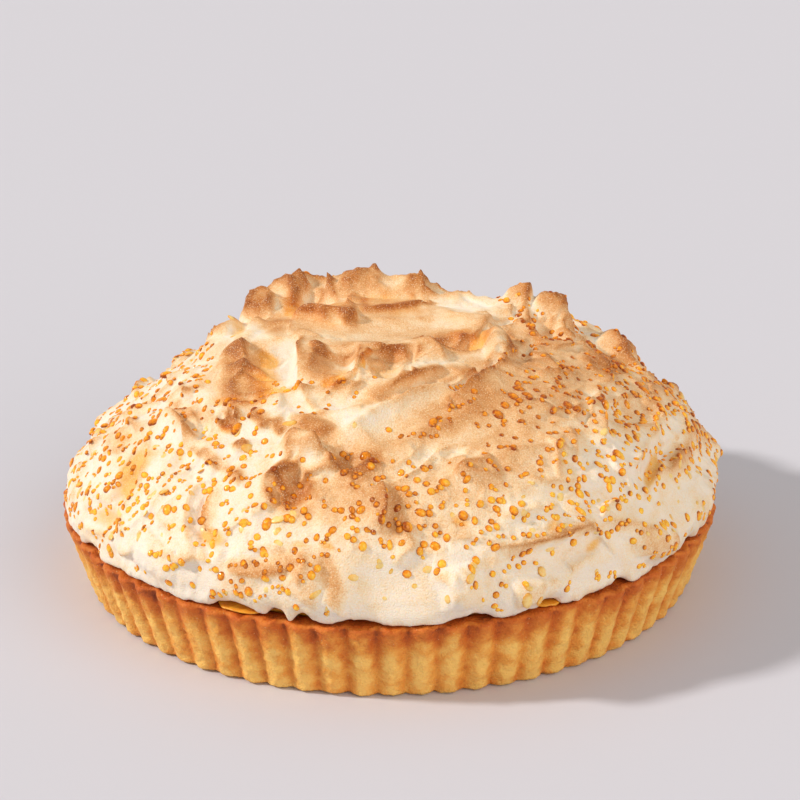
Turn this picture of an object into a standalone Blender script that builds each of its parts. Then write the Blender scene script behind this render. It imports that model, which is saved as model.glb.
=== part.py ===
"""A lemon meringue tart for a 28 cm tin: fluted crust, lemon filling, toasted meringue.

Standalone Blender 4.5 script, metres, +Z up. The origin is the middle of the
crust's underside, and -Y is the side that shows the long sweeping folds.
Sizes are written in millimetres and turned to metres as the meshes are made.
"""
import math
from collections import namedtuple

import bpy
import numpy as np

MM = 0.001
TOUCHING_GAP = 0.3

# Crust, baked in a fluted tin of 28 cm across the rim
RIM_RADIUS = 140.0
BASE_RADIUS = 130.8
CRUST_HEIGHT = 33.4
FLUTES = 74
POINTS_A_FLUTE = 5
FLUTE_DEPTH_AT_RIM = 3.1
FLUTE_DEPTH_AT_BASE = 2.5
FOOT_HEIGHT = 1.6
FOOT_SET_BACK = 1.2
RIM_ROUNDING = 1.4
WALL_TOP_INNER_RADIUS = 130.5
WALL_FOOT_INNER_RADIUS = 123.5
FLOOR_THICKNESS = 4.0
WALL_LEVELS = (0.0, 1.0)

# Lemon filling, with two places where it has run out over the rim
FILLING_TOP = 34.5
FLANGE_RADIUS = 131.0
RUNS = ((-115.0, 5.0, 6.4), (-64.0, 4.0, 5.2))
FILLING_STEPS = 60
FILLING_SET_BACK = 0.5
FILLING_BEVEL = 0.4

# Meringue: a dome that is broader than a sphere and tucked in at its lower edge
MERINGUE_UNDERSIDE = 34.8
MERINGUE_RADIUS = 138.6
WIDEST_LEVEL = 43.0
SUMMIT_LEVEL = 104.0
SIDE_POWER = 2.2
TOP_POWER = 1.6
EDGE_TUCK = 2.6
DOME_RINGS = 33
EDGE_FADE = 8.0

# How strokes are cut and raised
SCOOP_WALL = 4.0
SCOOP_BLEND = 0.6
LIP_SPREAD = 0.16
CREST_TIP = 0.6
CREST_FALL = 1.3
MOUND_ROUNDNESS = 1.3
LEAN_POWER = 1.5

# How hand work strays from true: size of the lumps, amount in millimetres, and seed
WANDER_ACROSS = ((24, 1.0, 1), (7, 0.35, 3))
WANDER_ALONG = ((24, 1.0, 2), (7, 0.35, 4))
UNEVENNESS = ((34, 1.2, 5), (14, 0.5, 6))
EDGE_LOBES = ((16, 1.3, 8), (6, 0.9, 9))
LOBE_RING = 60.0

# Beads of caramelised syrup that are large enough to be fused on
LARGE_BEADS = 64
BEAD_SIDES = 6
BEAD_SEED = 7
BEAD_FLATNESS = 0.8
BEAD_RINGS = ((-0.35, 0.9), (0.45, 0.85))

Mound = namedtuple("Mound", "start end bow height left right overhang")
Scoop = namedtuple("Scoop", "start end bow depth left right lip")
Crest = namedtuple("Crest", "start end bow height left right overhang")
Peak = namedtuple("Peak", "place height width lean")
Swell = namedtuple("Swell", "place radius height")

# The folds are laid out on the unrolled dome, in millimetres along the skin from the
# summit, +X right and -Y front. Left and right are widths to each side of a stroke.
BROAD_FORM = (
    Swell((-112, 8), 38, -10.0),
    Swell((-60, 2), 30, 4.0),
    Swell((104, 30), 40, 5.0),
    Swell((150, 0), 28, 0.8),
    Swell((161, 6), 8, 4.6),
    Swell((45, -75), 45, 3.0),
    Swell((-95, -75), 40, -2.0),
    Swell((5, -130), 40, 2.0),
    Swell((-5, -6), 24, -1.0),
    Swell((-112, 66), 36, -10.0),
    Swell((-153, 22), 26, -6.0),
    Swell((-146, 36), 12, 4.5),
    Swell((123, 38), 27, -9.5),
)

SUMMIT = (
    # Two ridges at the back, with a blunt right end
    Mound((-54, 42), (-22, 52), 2, 8.3, 13, 15, 0.0),
    Mound((-24, 54), (25, 50), 1, 11.4, 15, 17, 0.0),
    Crest((-49, 44), (-22, 48), 3, 3.4, 6, 5, 0.6),
    Crest((-22, 53), (2, 56), 1, 1.6, 5, 8, 0.6),
    Scoop((4, 62), (2, 40), 0, 2.4, 7, 7, 0.0),
    Peak((-36, 50), 6.5, 2.4, (-1, 1)),
    Scoop((-40, 50), (-28, 33), 2, 4.5, 7, 8, 1.0),
    Scoop((-52, 48), (-46, 36), 2, 4.0, 6, 6, 1.0),
    Crest((13, 58), (19, 37), 0, 2.2, 3, 3, 1.2),
    Crest((20, 50), (22, 36), 0, 2.4, 3.5, 2.5, 1.0),
    # Left lump with its toasted cap, the thin fin, and the flank beside them
    Mound((-64, 30), (-47, 34), 2, 9.5, 11, 10, 0.0),
    Mound((-76, 12), (-66, 24), 0, 7.2, 9, 9, 0.0),
    Crest((-64, 31), (-47, 30), 2, 2.6, 8, 2.5, 1.8),
    Crest((-56, 21), (-53, -8), 0, 5.0, 1.8, 2.6, 0.3),
    # Plateau, smoothed flat
    Scoop((-44, -2), (40, 4), -8, 1.8, 14, 15, 0.4),
    # Rough toasted lip that hangs over the plateau, with a curl in it
    Crest((-40, 13), (-24, 4), 5, 6.5, 7, 2.2, 3.0),
    Crest((-20, 4), (-12, 8), 1, 4.6, 7, 2.2, 2.6),
    Crest((-12, 14), (21, 34), -2, 2.8, 7, 2.4, 2.0),
    Peak((-15, 17), 4.5, 3.6, (-2, 1)),
    # Ledge and blocky peaks on the right skyline
    Mound((28, 38), (46, 36), 0, 3.0, 8, 9, 0.0),
    Mound((44, 27), (80, 22), 2, 4.0, 12, 9, 0.0),
    Mound((50, 38), (62, 38), 0, 8.5, 9, 10, 0.0),
    Mound((62, 34), (76, 32), 0, 11.5, 9, 10, 0.0),
    Peak((29, 40), 3.2, 1.6, (0, 1)),
    Peak((36, 40), 1.8, 1.6, (0, 1)),
    Peak((58, 39), 2.4, 1.8, (1, 0)),
    Crest((62, 40), (73, 36), 2, 3.0, 4, 3, 0.8),
    Crest((73, 35), (69, 12), -1, 4.0, 3.5, 6, 0.8),
    Crest((23, 27), (40, 9), -6, 1.6, 4, 6, 0.8),
    Crest((36, 19), (43, -2), 2, 3.2, 3, 7, 1.4),
    Crest((49, 12), (63, -6), 5, 2.6, 4, 3, 1.0),
    Mound((92, 26), (108, 16), 2, 6.0, 10, 9, 0.0),
    Peak((75, 28), 1.8, 1.5, (0, 1)),
    Crest((83, -9), (85, -24), 1, 1.6, 4, 2, 0.8),
)

FRONT = (
    # Three hollows under the plateau, and the brown mound at their left
    Mound((-68, -20), (-51, -17), 3, 4.5, 8, 11, 0.0),
    Mound((-60, -37), (-56, -60), -1, 3.2, 12, 11, 0.0),
    Scoop((-41, -9), (-44, -45), 1, 6.5, 6, 16, 0.8),
    Scoop((-18, -22), (-21, -52), 1, 5.5, 6, 11, 0.6),
    Scoop((-1, -28), (-6, -53), 2, 4.5, 10, 9, 0.6),
    Scoop((8, -27), (8, -42), 0, 3.5, 2.6, 2.6, 0.0),
    Scoop((21, -13), (37, -14), -7, 6.5, 8, 8, 0.8),
    # Folds between the hollows
    Crest((-69, -29), (-50, -37), 2, 1.8, 2.4, 4.5, 1.2),
    Crest((-51, -31), (-40, -19), -3, 1.2, 2.4, 5, 0.6),
    Crest((-37, -15), (-35, -54), 2, 3.4, 7, 2.0, 1.6),
    Mound((-28, -31), (-29, -58), 1, 2.6, 12, 8, 0.0),
    Crest((-23, -62), (-11, -39), -4, 3.8, 8, 1.8, 1.4),
    Crest((-11, -41), (-1, -28), 2, 3.2, 7, 2.2, 1.4),
    Crest((-48, -62), (-33, -63), 0, 2.0, 3, 6, 1.0),
    Crest((-53, -65), (-23, -64), 0, 1.8, 4, 4, 0.6),
    # Lip of the plateau, with a torn bit, and the sharp fold at its right end
    Crest((-53, 0), (-31, -17), -1, 1.4, 9, 3, 1.0),
    Mound((-30, -20), (-24, -29), 0, 2.6, 3.5, 3, 0.8),
    Crest((-24, -28), (-12, -25), 0, 1.8, 6, 2.4, 1.2),
    Crest((-12, -29), (9, -31), 3, 2.8, 8, 2.4, 2.0),
    Peak((13, -18), 4.5, 4.0, (0, -3)),
    Crest((14, -20), (22, -41), 0, 4.5, 2.4, 9, 1.2),
    Crest((17, -13), (31, -16), 0, 2.0, 9, 2.2, 1.6),
    Crest((31, -16), (42, 10), 0, 2.4, 8, 2.4, 1.6),
    Mound((44, -8), (45, -35), 0, 6.5, 9, 6.5, 0.0),
    # Left flank: knife edges with toasted backs
    Crest((-93, -38), (-76, -41), 1, 2.6, 9, 2.6, 1.2),
    Scoop((-88, -42), (-79, -44), -1, 2.6, 4, 6, 0.0),
    Crest((-94, -46), (-77, -77), 0, 3.2, 2.6, 9, 1.4),
    Scoop((-85, -53), (-77, -70), -1, 2.4, 6, 3, 0.0),
    Crest((-81, -75), (-66, -95), -1, 3.4, 8, 2.4, 1.6),
    Scoop((-87, -75), (-72, -95), -1, 2.4, 7, 8, 0.4),
    Crest((-96, -39), (-103, -70), 0, 2.0, 4, 5, 0.6),
    Crest((-98, -66), (-107, -81), 1, 1.8, 5, 3, 0.8),
    Crest((-111, -15), (-122, -51), -1, 1.6, 5, 5, 0.4),
    Mound((-129, 1), (-111, -26), -3, 3.0, 7, 7, 0.0),
    Mound((-97, -12), (-80, -18), -1, 3.0, 9, 9, 0.0),
    Mound((-75, -11), (-74, 18), 0, 1.6, 9, 8, 0.0),
    # Toasted knobs and the small cave beside them
    Mound((-66, -63), (-62, -70), 0, 4.0, 6, 6, 0.6),
    Scoop((-68, -60), (-67, -66), 0, 3.2, 2.2, 2.2, 0.5),
    Scoop((-64, -59), (-64, -70), 1, 4.2, 2.2, 2.2, 0.5),
    Crest((-56, -67), (-41, -75), -1, 3.6, 8, 2.4, 2.0),
    Peak((-50, -75), 3.4, 3.2, (0, -4)),
    Peak((-43, -81), 2.6, 2.6, (0, -2)),
    Mound((-61, -82), (-55, -85), -1, 3.0, 4, 4, 0.5),
    # Three-cornered face with its crisp edge, a curl, and the shaded hollow beneath
    Mound((-36, -79), (-23, -89), 1, 3.0, 7, 8, 0.0),
    Crest((-42, -84), (-20, -109), 2, 5.0, 3.2, 11, 1.6),
    Crest((-9, -102), (-3, -111), 0, 2.8, 2.4, 7, 1.2),
    Scoop((-19, -95), (-12, -107), -1, 2.4, 7, 5, 0.0),
    Mound((-47, -109), (-38, -108), 5, 3.6, 5, 4, 0.6),
    Peak((-42, -113), 4.6, 2.6, (0, -4)),
    Crest((-40, -111), (-26, -105), 2, 2.8, 7, 2.4, 1.6),
    Scoop((-46, -114), (-31, -110), -1, 5.0, 8, 11, 0.4),
    Crest((-5, -113), (-4, -134), 2, 2.4, 2.4, 6, 1.0),
    Crest((-16, -114), (-4, -121), -1, 1.4, 3, 2, 0.6),
    Crest((5, -125), (1, -133), 1, 1.2, 2, 4, 0.6),
    # Long sweeps that climb to the right, and the groove of beads
    Scoop((-43, -66), (-7, -63), -3, 3.0, 7, 8, 0.6),
    Scoop((-4, -70), (28, -49), 0, 3.6, 6, 7, 0.0),
    Scoop((-9, -89), (26, -67), 0, 3.6, 9, 13, 0.0),
    Scoop((9, -99), (52, -76), 1, 2.4, 14, 16, 0.0),
    Scoop((25, -64), (45, -34), -1, 3.6, 3.4, 3.4, 0.6),
    Crest((-6, -69), (23, -47), 2, 3.4, 10, 3, 1.4),
    Crest((-19, -92), (25, -62), 3, 4.6, 6, 8, 1.4),
    Crest((24, -69), (47, -33), -3, 3.2, 2.2, 9, 1.2),
    Crest((24, -110), (39, -98), 1, 2.8, 3, 8, 1.0),
    Crest((39, -98), (73, -87), 1, 1.6, 3, 6, 0.6),
    Mound((64, -83), (68, -90), 0, 2.8, 5, 3, 0.4),
    # Right flank
    Crest((87, -36), (100, -31), 5, 1.6, 4, 4, 0.6),
    Crest((83, -46), (78, -63), -1, 2.0, 3, 5, 0.8),
    Scoop((94, -54), (111, -32), 1, 3.0, 8, 8, 0.6),
    Crest((86, -60), (104, -52), -4, 1.4, 4, 4, 0.5),
    Scoop((124, -38), (105, -88), 2, 4.0, 7, 8, 0.6),
    Crest((127, -43), (106, -94), 1, 4.0, 9, 2.6, 1.4),
    Scoop((153, -8), (115, -97), 4, 3.0, 8, 11, 0.0),
    Mound((123, -10), (133, -29), 1, 2.6, 8, 8, 0.0),
    Mound((80, -92), (92, -90), -2, 2.0, 10, 10, 0.0),
    Crest((143, -39), (130, -79), 1, 1.6, 6, 6, 0.4),
    # Lower right: a toasted streak over smooth white valleys
    Crest((32, -145), (85, -114), 0, 2.6, 10, 3.2, 1.6),
    Crest((86, -113), (119, -100), 1, 2.6, 7, 4, 1.0),
    Scoop((42, -142), (92, -118), -2, 4.0, 6, 11, 0.4),
    Crest((66, -142), (91, -121), -2, 2.2, 3, 8, 0.8),
    Mound((51, -153), (67, -150), 1, 4.0, 8, 7, 0.6),
    Mound((106, -113), (127, -100), 0, 3.4, 8, 8, 0.6),
    Scoop((75, -142), (103, -123), -2, 2.0, 6, 8, 0.0),
    # Lower middle: a broad smooth bowl between soft rolls
    Swell((-8, -154), 14, -3.2),
    Swell((7, -154), 15, -3.4),
    Mound((-36, -143), (-37, -157), 2, 3.0, 9, 11, 0.0),
    Mound((25, -144), (30, -160), 0, 5.0, 10, 9, 0.0),
    Crest((16, -148), (26, -158), 3, 2.6, 6, 2.2, 1.0),
    Crest((-29, -155), (-20, -165), 1, 1.8, 6, 3, 0.6),
    # Lower left: rounded lobes, a curved groove and shallow pans
    Scoop((-71, -97), (-75, -125), -6, 3.2, 4.5, 4.5, 0.6),
    Crest((-72, -97), (-77, -126), -6, 1.6, 3, 6, 0.5),
    Crest((-126, -76), (-110, -104), 2, 2.2, 6, 3, 0.8),
    Scoop((-138, -70), (-116, -93), -1, 2.6, 8, 7, 0.4),
    Scoop((-110, -70), (-121, -77), 4, 3.0, 8, 8, 0.4),
    Crest((-97, -119), (-68, -134), 0, 2.4, 8, 3, 0.8),
    Swell((-54, -122), 13, 1.8),
    Swell((-50, -133), 10, -1.4),
    Crest((-68, -136), (-36, -141), -4, 2.4, 6, 3, 1.0),
    Mound((-112, -107), (-92, -129), -1, 2.4, 12, 10, 0.0),
    Mound((-99, -95), (-83, -114), 1, 1.8, 12, 12, 0.0),
)

# The far side carries the same kinds of stroke by a seeded rule
BACK_STROKES = 34
BACK_SEED = 21
BACK_ANGLES = (12, 168)
BACK_NEAREST, BACK_DEPTH = 0.38, 0.58
GOLDEN_STEP = 0.618


def profile_of_dome(steps=300, tuck_steps=30):
    """Distance along the skin, radius and level of the dome, from the summit down."""
    angle = np.linspace(0, math.pi / 2, steps)
    radius = MERINGUE_RADIUS * np.sin(angle) ** (2 / SIDE_POWER)
    rise = SUMMIT_LEVEL - WIDEST_LEVEL
    level = WIDEST_LEVEL + rise * np.cos(angle) ** (2 / TOP_POWER)
    turn = np.linspace(0, math.pi / 2, tuck_steps)[1:]
    tuck_radius = MERINGUE_RADIUS - EDGE_TUCK * (1 - np.cos(turn))
    tuck_level = WIDEST_LEVEL - (WIDEST_LEVEL - MERINGUE_UNDERSIDE) * np.sin(turn)
    radius = np.append(radius, tuck_radius)
    level = np.append(level, tuck_level)
    steps_along = np.hypot(np.diff(radius), np.diff(level))
    return np.append(0.0, np.cumsum(steps_along)), radius, level


ALONG, DOME_RADIUS, DOME_LEVEL = profile_of_dome()
SKIN_LENGTH = ALONG[-1]


def dome_point(place):
    """Points of the smooth dome, and their outward normals, for places on its map."""
    along = np.hypot(place[:, 0], place[:, 1])
    around = np.arctan2(place[:, 1], place[:, 0])
    step = 0.5
    radius = np.interp(along, ALONG, DOME_RADIUS)
    level = np.interp(along, ALONG, DOME_LEVEL)
    fall = np.interp(along - step, ALONG, DOME_LEVEL) - np.interp(along + step, ALONG, DOME_LEVEL)
    reach = np.interp(along + step, ALONG, DOME_RADIUS) - np.interp(along - step, ALONG, DOME_RADIUS)
    size = np.hypot(fall, reach)
    outward, upward = fall / size, reach / size
    cos, sin = np.cos(around), np.sin(around)
    point = np.stack([radius * cos, radius * sin, level], axis=1)
    normal = np.stack([outward * cos, outward * sin, upward], axis=1)
    return point, normal


def smooth_noise(place, size, seed):
    """Even noise from -1 to 1 whose lumps are about size across."""
    random = np.random.default_rng(seed)
    table = random.uniform(-1, 1, (64, 64))
    cell = place / size + random.uniform(0, 64, 2)
    corner = np.floor(cell).astype(int)
    part = cell - corner
    part = part * part * (3 - 2 * part)
    x, y = corner[:, 0] % 64, corner[:, 1] % 64
    x2, y2 = (x + 1) % 64, (y + 1) % 64
    low = table[x, y] * (1 - part[:, 0]) + table[x2, y] * part[:, 0]
    high = table[x, y2] * (1 - part[:, 0]) + table[x2, y2] * part[:, 0]
    return low * (1 - part[:, 1]) + high * part[:, 1]


def layered_noise(place, layers):
    """Sum of noises, each with its own size, amount and seed."""
    return sum(amount * smooth_noise(place, size, seed) for size, amount, seed in layers)


def stroke_points(stroke, steps=14):
    """Points along a stroke: a shallow arc from its start to its end."""
    start, end = np.array(stroke.start, float), np.array(stroke.end, float)
    chord = end - start
    side = np.array([-chord[1], chord[0]]) / max(np.hypot(*chord), 1e-6)
    t = np.linspace(0, 1, steps)[:, None]
    return start + chord * t + side * stroke.bow * 4 * t * (1 - t)


def measure_from_stroke(place, path):
    """Signed distance from a path (left is positive) and the share of it passed."""
    best = np.full(len(place), 1e9)
    signed = np.zeros(len(place))
    share = np.zeros(len(place))
    away = np.zeros((len(place), 2))
    count = len(path) - 1
    for k in range(count):
        a, run = path[k], path[k + 1] - path[k]
        length = max(np.dot(run, run), 1e-9)
        t = np.clip((place - a) @ run / length, 0, 1)
        gap = place - a - t[:, None] * run
        distance = np.hypot(gap[:, 0], gap[:, 1])
        nearer = distance < best
        sign = np.where(run[0] * gap[:, 1] - run[1] * gap[:, 0] >= 0, 1.0, -1.0)
        best[nearer] = distance[nearer]
        signed[nearer] = (sign * distance)[nearer]
        share[nearer] = ((k + t) / count)[nearer]
        unit = np.array([-run[1], run[0]]) / math.sqrt(length)
        away[nearer] = unit
    return signed, share, away


def fade_at_ends(share):
    """One along a stroke's middle, dying away towards both ends."""
    return 1 - np.abs(2 * share - 1) ** 4


def soft_min(a, b, softness):
    """The lesser of two heights, blended where they are close."""
    blend = np.clip(0.5 + 0.5 * (b - a) / softness, 0, 1)
    return b * (1 - blend) + a * blend - softness * blend * (1 - blend)


def work_point(stroke, place, height, lean):
    """Raise a broad swell or a pulled peak."""
    gap = place - np.array(stroke.place, float)
    if type(stroke) is Swell:
        height += stroke.height * np.exp(-(gap ** 2).sum(axis=1) / stroke.radius ** 2)
        return
    share = np.exp(-np.hypot(gap[:, 0], gap[:, 1]) / stroke.width)
    height += stroke.height * share
    lean += np.outer(share ** LEAN_POWER, stroke.lean)


def work_stroke(stroke, place, height, lean, own):
    """Work one stroke of the spatula into the heights; own marks its path's samples."""
    path = place[own]
    signed, share, away = measure_from_stroke(place, path)
    wide = np.where(signed > 0, stroke.left, stroke.right)
    fade = fade_at_ends(share)
    if type(stroke) is Scoop:
        across = np.abs(signed) / wide
        level = np.interp(share, np.linspace(0, 1, len(path)), height[own])
        bowl = np.minimum(across, 1) ** 2 + SCOOP_WALL * np.maximum(across ** 2 - 1, 0)
        floor = level - stroke.depth * (0.15 + 0.85 * fade) * (1 - bowl)
        height[:] = soft_min(height, floor, SCOOP_BLEND)
        height += stroke.lip * fade * np.exp(-((across - 1) / LIP_SPREAD) ** 2)
        return
    if type(stroke) is Crest:
        across = (np.hypot(signed, CREST_TIP) - CREST_TIP) / wide
        share_up = fade * np.exp(-CREST_FALL * across)
    else:
        steep = np.clip(1 - (signed / wide) ** 2, 0, 1)
        share_up = (0.3 + 0.7 * fade) * steep ** MOUND_ROUNDNESS
    height += stroke.height * share_up
    narrow = 1.0 if stroke.left < stroke.right else -1.0
    lean += away * (narrow * stroke.overhang * share_up ** LEAN_POWER)[:, None]


def back_strokes():
    """Seeded strokes for the far side, drawn as the front's are."""
    random = np.random.default_rng(BACK_SEED)
    strokes = []
    for k in range(BACK_STROKES):
        around = math.radians(random.uniform(*BACK_ANGLES))
        along = SKIN_LENGTH * (BACK_NEAREST + BACK_DEPTH * ((k * GOLDEN_STEP) % 1.0))
        middle = along * np.array([math.cos(around), math.sin(around)])
        turn = around + math.radians(90 + random.uniform(-50, 50))
        reach = random.uniform(12, 32) * np.array([math.cos(turn), math.sin(turn)])
        start, end = tuple(middle - reach), tuple(middle + reach)
        bow, size = random.uniform(-8, 8), random.uniform(0.7, 1.3)
        left, right = random.uniform(5, 14), random.uniform(5, 14)
        if k % 3 == 0:
            strokes.append(Crest(start, end, bow, 4.2 * size, left * 0.7, right * 0.7, 1.2))
        elif k % 7 == 1:
            strokes.append(Mound(start, end, bow, 3.5 * size, left, right, 0.8))
        else:
            strokes.append(Scoop(start, end, bow, 4.4 * size, left, right, 0.9))
    return strokes


def meringue_relief(place):
    """Height off the smooth dome, and sideways lean, at places on its map."""
    strokes = list(BROAD_FORM) + back_strokes() + list(SUMMIT) + list(FRONT)
    paths = [stroke_points(s) if hasattr(s, "bow") else np.zeros((0, 2)) for s in strokes]
    whole = np.vstack([place] + paths)
    wander = np.stack([layered_noise(whole, WANDER_ACROSS), layered_noise(whole, WANDER_ALONG)], axis=1)
    wandered = whole + wander
    wandered[len(place):] = whole[len(place):]
    height = layered_noise(whole, UNEVENNESS)
    lean = np.zeros_like(whole)
    first = len(place)
    for stroke, path in zip(strokes, paths):
        if len(path) == 0:
            work_point(stroke, wandered, height, lean)
            continue
        own = slice(first, first + len(path))
        work_stroke(stroke, wandered, height, lean, own)
        first += len(path)
    count = len(place)
    return height[:count], lean[:count]


def meringue_point(place):
    """Finished skin of the meringue for places on the dome's map."""
    height, lean = meringue_relief(place)
    along = np.hypot(place[:, 0], place[:, 1])
    keep = np.clip((SKIN_LENGTH - along) / EDGE_FADE, 0, 1)
    keep = keep * keep * (3 - 2 * keep)
    point, normal = dome_point(place + lean * keep[:, None])
    point = point + normal * (height * keep)[:, None]
    around = np.arctan2(place[:, 1], place[:, 0])
    out = np.stack([np.cos(around), np.sin(around)], axis=1)
    lobes = layered_noise(out * LOBE_RING, EDGE_LOBES) * (1 - keep)
    point[:, :2] += out * lobes[:, None]
    return point


def disc_of_rings(rings, reach):
    """Places on a disc in rings of 6, 12, 18 ... and the triangles between them."""
    places = [(0.0, 0.0)]
    for ring in range(1, rings + 1):
        for k in range(6 * ring):
            angle = 2 * math.pi * k / (6 * ring)
            places.append((reach * ring / rings * math.cos(angle), reach * ring / rings * math.sin(angle)))
    triangles = []
    for ring in range(1, rings + 1):
        inner, outer = 1 + 3 * (ring - 1) * (ring - 2), 1 + 3 * ring * (ring - 1)
        inner_count, outer_count = max(6 * (ring - 1), 1), 6 * ring
        for side in range(6):
            for k in range(ring):
                a = outer + (side * ring + k) % outer_count
                b = outer + (side * ring + k + 1) % outer_count
                c = inner + (side * (ring - 1) + k) % inner_count if ring > 1 else 0
                triangles.append((c, a, b))
                if k < ring - 1:
                    d = inner + (side * (ring - 1) + k + 1) % inner_count
                    triangles.append((c, b, d))
    return np.array(places), triangles


def bead_places():
    """Map places, sizes and turns of the large beads, spread by a seeded rule."""
    random = np.random.default_rng(BEAD_SEED)
    golden = math.pi * (3 - math.sqrt(5))
    beads = []
    for k in range(LARGE_BEADS):
        along = SKIN_LENGTH * (0.42 + 0.5 * math.sqrt((k + 0.5) / LARGE_BEADS)) + random.uniform(-5, 5)
        around = golden * k + random.uniform(-0.2, 0.2)
        long, wide = random.uniform(1.7, 2.2), random.uniform(1.4, 1.8)
        turn = random.uniform(0, math.pi)
        beads.append((along * math.cos(around), along * math.sin(around), long, wide, turn))
    return beads


def new_material(name, colour, roughness):
    material = bpy.data.materials.new(name)
    material.use_nodes = True
    shader = material.node_tree.nodes["Principled BSDF"]
    shader.inputs["Base Color"].default_value = (*colour, 1.0)
    shader.inputs["Roughness"].default_value = roughness
    shader.inputs["Metallic"].default_value = 0.0
    return material


def new_object(name, points, faces, material):
    """One object from points in millimetres."""
    mesh = bpy.data.meshes.new(name)
    mesh.from_pydata([tuple(float(c) * MM for c in p) for p in points], [], faces)
    mesh.update()
    thing = bpy.data.objects.new(name, mesh)
    bpy.context.scene.collection.objects.link(thing)
    mesh.materials.append(material)
    return thing


def closed_rings(rings):
    """Points and faces that join rings in turn, with a fan at each end's middle.

    The rings may have unequal numbers of points, which share their starting angle.
    """
    points, firsts = [], []
    for ring in rings:
        firsts.append(len(points))
        points += ring
    faces = []
    for level in range(len(rings) - 1):
        near, far = len(rings[level]), len(rings[level + 1])
        first, second = firsts[level], firsts[level + 1]
        if near == far:
            for k in range(near):
                following = (k + 1) % near
                faces.append((first + k, first + following, second + following, second + k))
            continue
        i = j = 0
        while i < near or j < far:
            if j >= far or (i < near and (i + 0.5) / near <= (j + 0.5) / far):
                faces.append((first + i % near, first + (i + 1) % near, second + j % far))
                i += 1
            else:
                faces.append((first + i % near, second + (j + 1) % far, second + j % far))
                j += 1
    for level, flip in ((0, True), (len(rings) - 1, False)):
        points.append((0.0, 0.0, rings[level][0][2]))
        centre, first, count = len(points) - 1, firsts[level], len(rings[level])
        for k in range(count):
            a, b = first + k, first + (k + 1) % count
            faces.append((centre, b, a) if flip else (centre, a, b))
    return points, faces


def ring_at(radii, level, angles):
    return [(r * math.cos(a), r * math.sin(a), level) for r, a in zip(radii, angles)]


def flute_groove(angle):
    """0 on the round back of a flute, 1 in the narrow groove between two."""
    return 1 - abs(math.sin(FLUTES * angle / 2))


def build_crust():
    """The fluted case: outside from its foot to its rim, then inside down to its floor."""
    count = FLUTES * POINTS_A_FLUTE
    angles = [2 * math.pi * k / count for k in range(count)]
    grooves = [flute_groove(a) for a in angles]

    def outer_ring(rise, set_back=0.0, level=None):
        radius = BASE_RADIUS + (RIM_RADIUS - BASE_RADIUS) * rise
        depth = FLUTE_DEPTH_AT_BASE + (FLUTE_DEPTH_AT_RIM - FLUTE_DEPTH_AT_BASE) * rise
        height = FOOT_HEIGHT + (CRUST_HEIGHT - RIM_ROUNDING - FOOT_HEIGHT) * rise
        radii = [radius - set_back - depth * g for g in grooves]
        return ring_at(radii, height if level is None else level, angles)

    rings = [outer_ring(0.0, FOOT_SET_BACK, 0.0)]
    rings += [outer_ring(rise) for rise in WALL_LEVELS]
    rings.append(outer_ring(1.0, RIM_ROUNDING, CRUST_HEIGHT))
    inside = [2 * math.pi * k / FLUTES for k in range(FLUTES)]
    rings.append(ring_at([WALL_TOP_INNER_RADIUS] * FLUTES, CRUST_HEIGHT, inside))
    rings.append(ring_at([WALL_FOOT_INNER_RADIUS] * FLUTES, FLOOR_THICKNESS, inside))
    points, faces = closed_rings(rings)
    material = new_material("baked_shortcrust", (0.60, 0.30, 0.09), 0.75)
    return new_object("crust", points, faces, material)


def run_share(angle):
    """How far the filling has run out over the rim at an angle, in millimetres."""
    degrees = math.degrees(angle)
    out = 0.0
    for middle, half_width, reach in RUNS:
        off = (degrees - middle + 180) % 360 - 180
        out = max(out, reach * max(0.0, 1 - (off / half_width) ** 2))
    return out


def build_filling():
    """The curd, from the crust's floor to a thin flange under the meringue."""
    step = 2 * math.pi / FILLING_STEPS
    angles = [step * k for k in range(FILLING_STEPS)]
    for middle, half_width, _ in RUNS:
        angles += [math.radians((middle + half_width * s) % 360) for s in (-1, -0.5, 0, 0.5, 1)]
    angles = sorted(set(round(a % (2 * math.pi), 5) for a in angles))
    inner = [WALL_TOP_INNER_RADIUS - TOUCHING_GAP - FILLING_SET_BACK] * len(angles)
    foot = [WALL_FOOT_INNER_RADIUS - TOUCHING_GAP - FILLING_SET_BACK] * len(angles)
    flange = [FLANGE_RADIUS + run_share(a) for a in angles]
    over_rim = CRUST_HEIGHT + TOUCHING_GAP
    rings = [
        ring_at(foot, FLOOR_THICKNESS + TOUCHING_GAP, angles),
        ring_at(inner, CRUST_HEIGHT, angles),
        ring_at(flange, over_rim, angles),
        ring_at([f - FILLING_BEVEL for f in flange], FILLING_TOP, angles),
    ]
    points, faces = closed_rings(rings)
    material = new_material("lemon_curd", (0.80, 0.42, 0.04), 0.3)
    return new_object("lemon_filling", points, faces, material)


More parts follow.
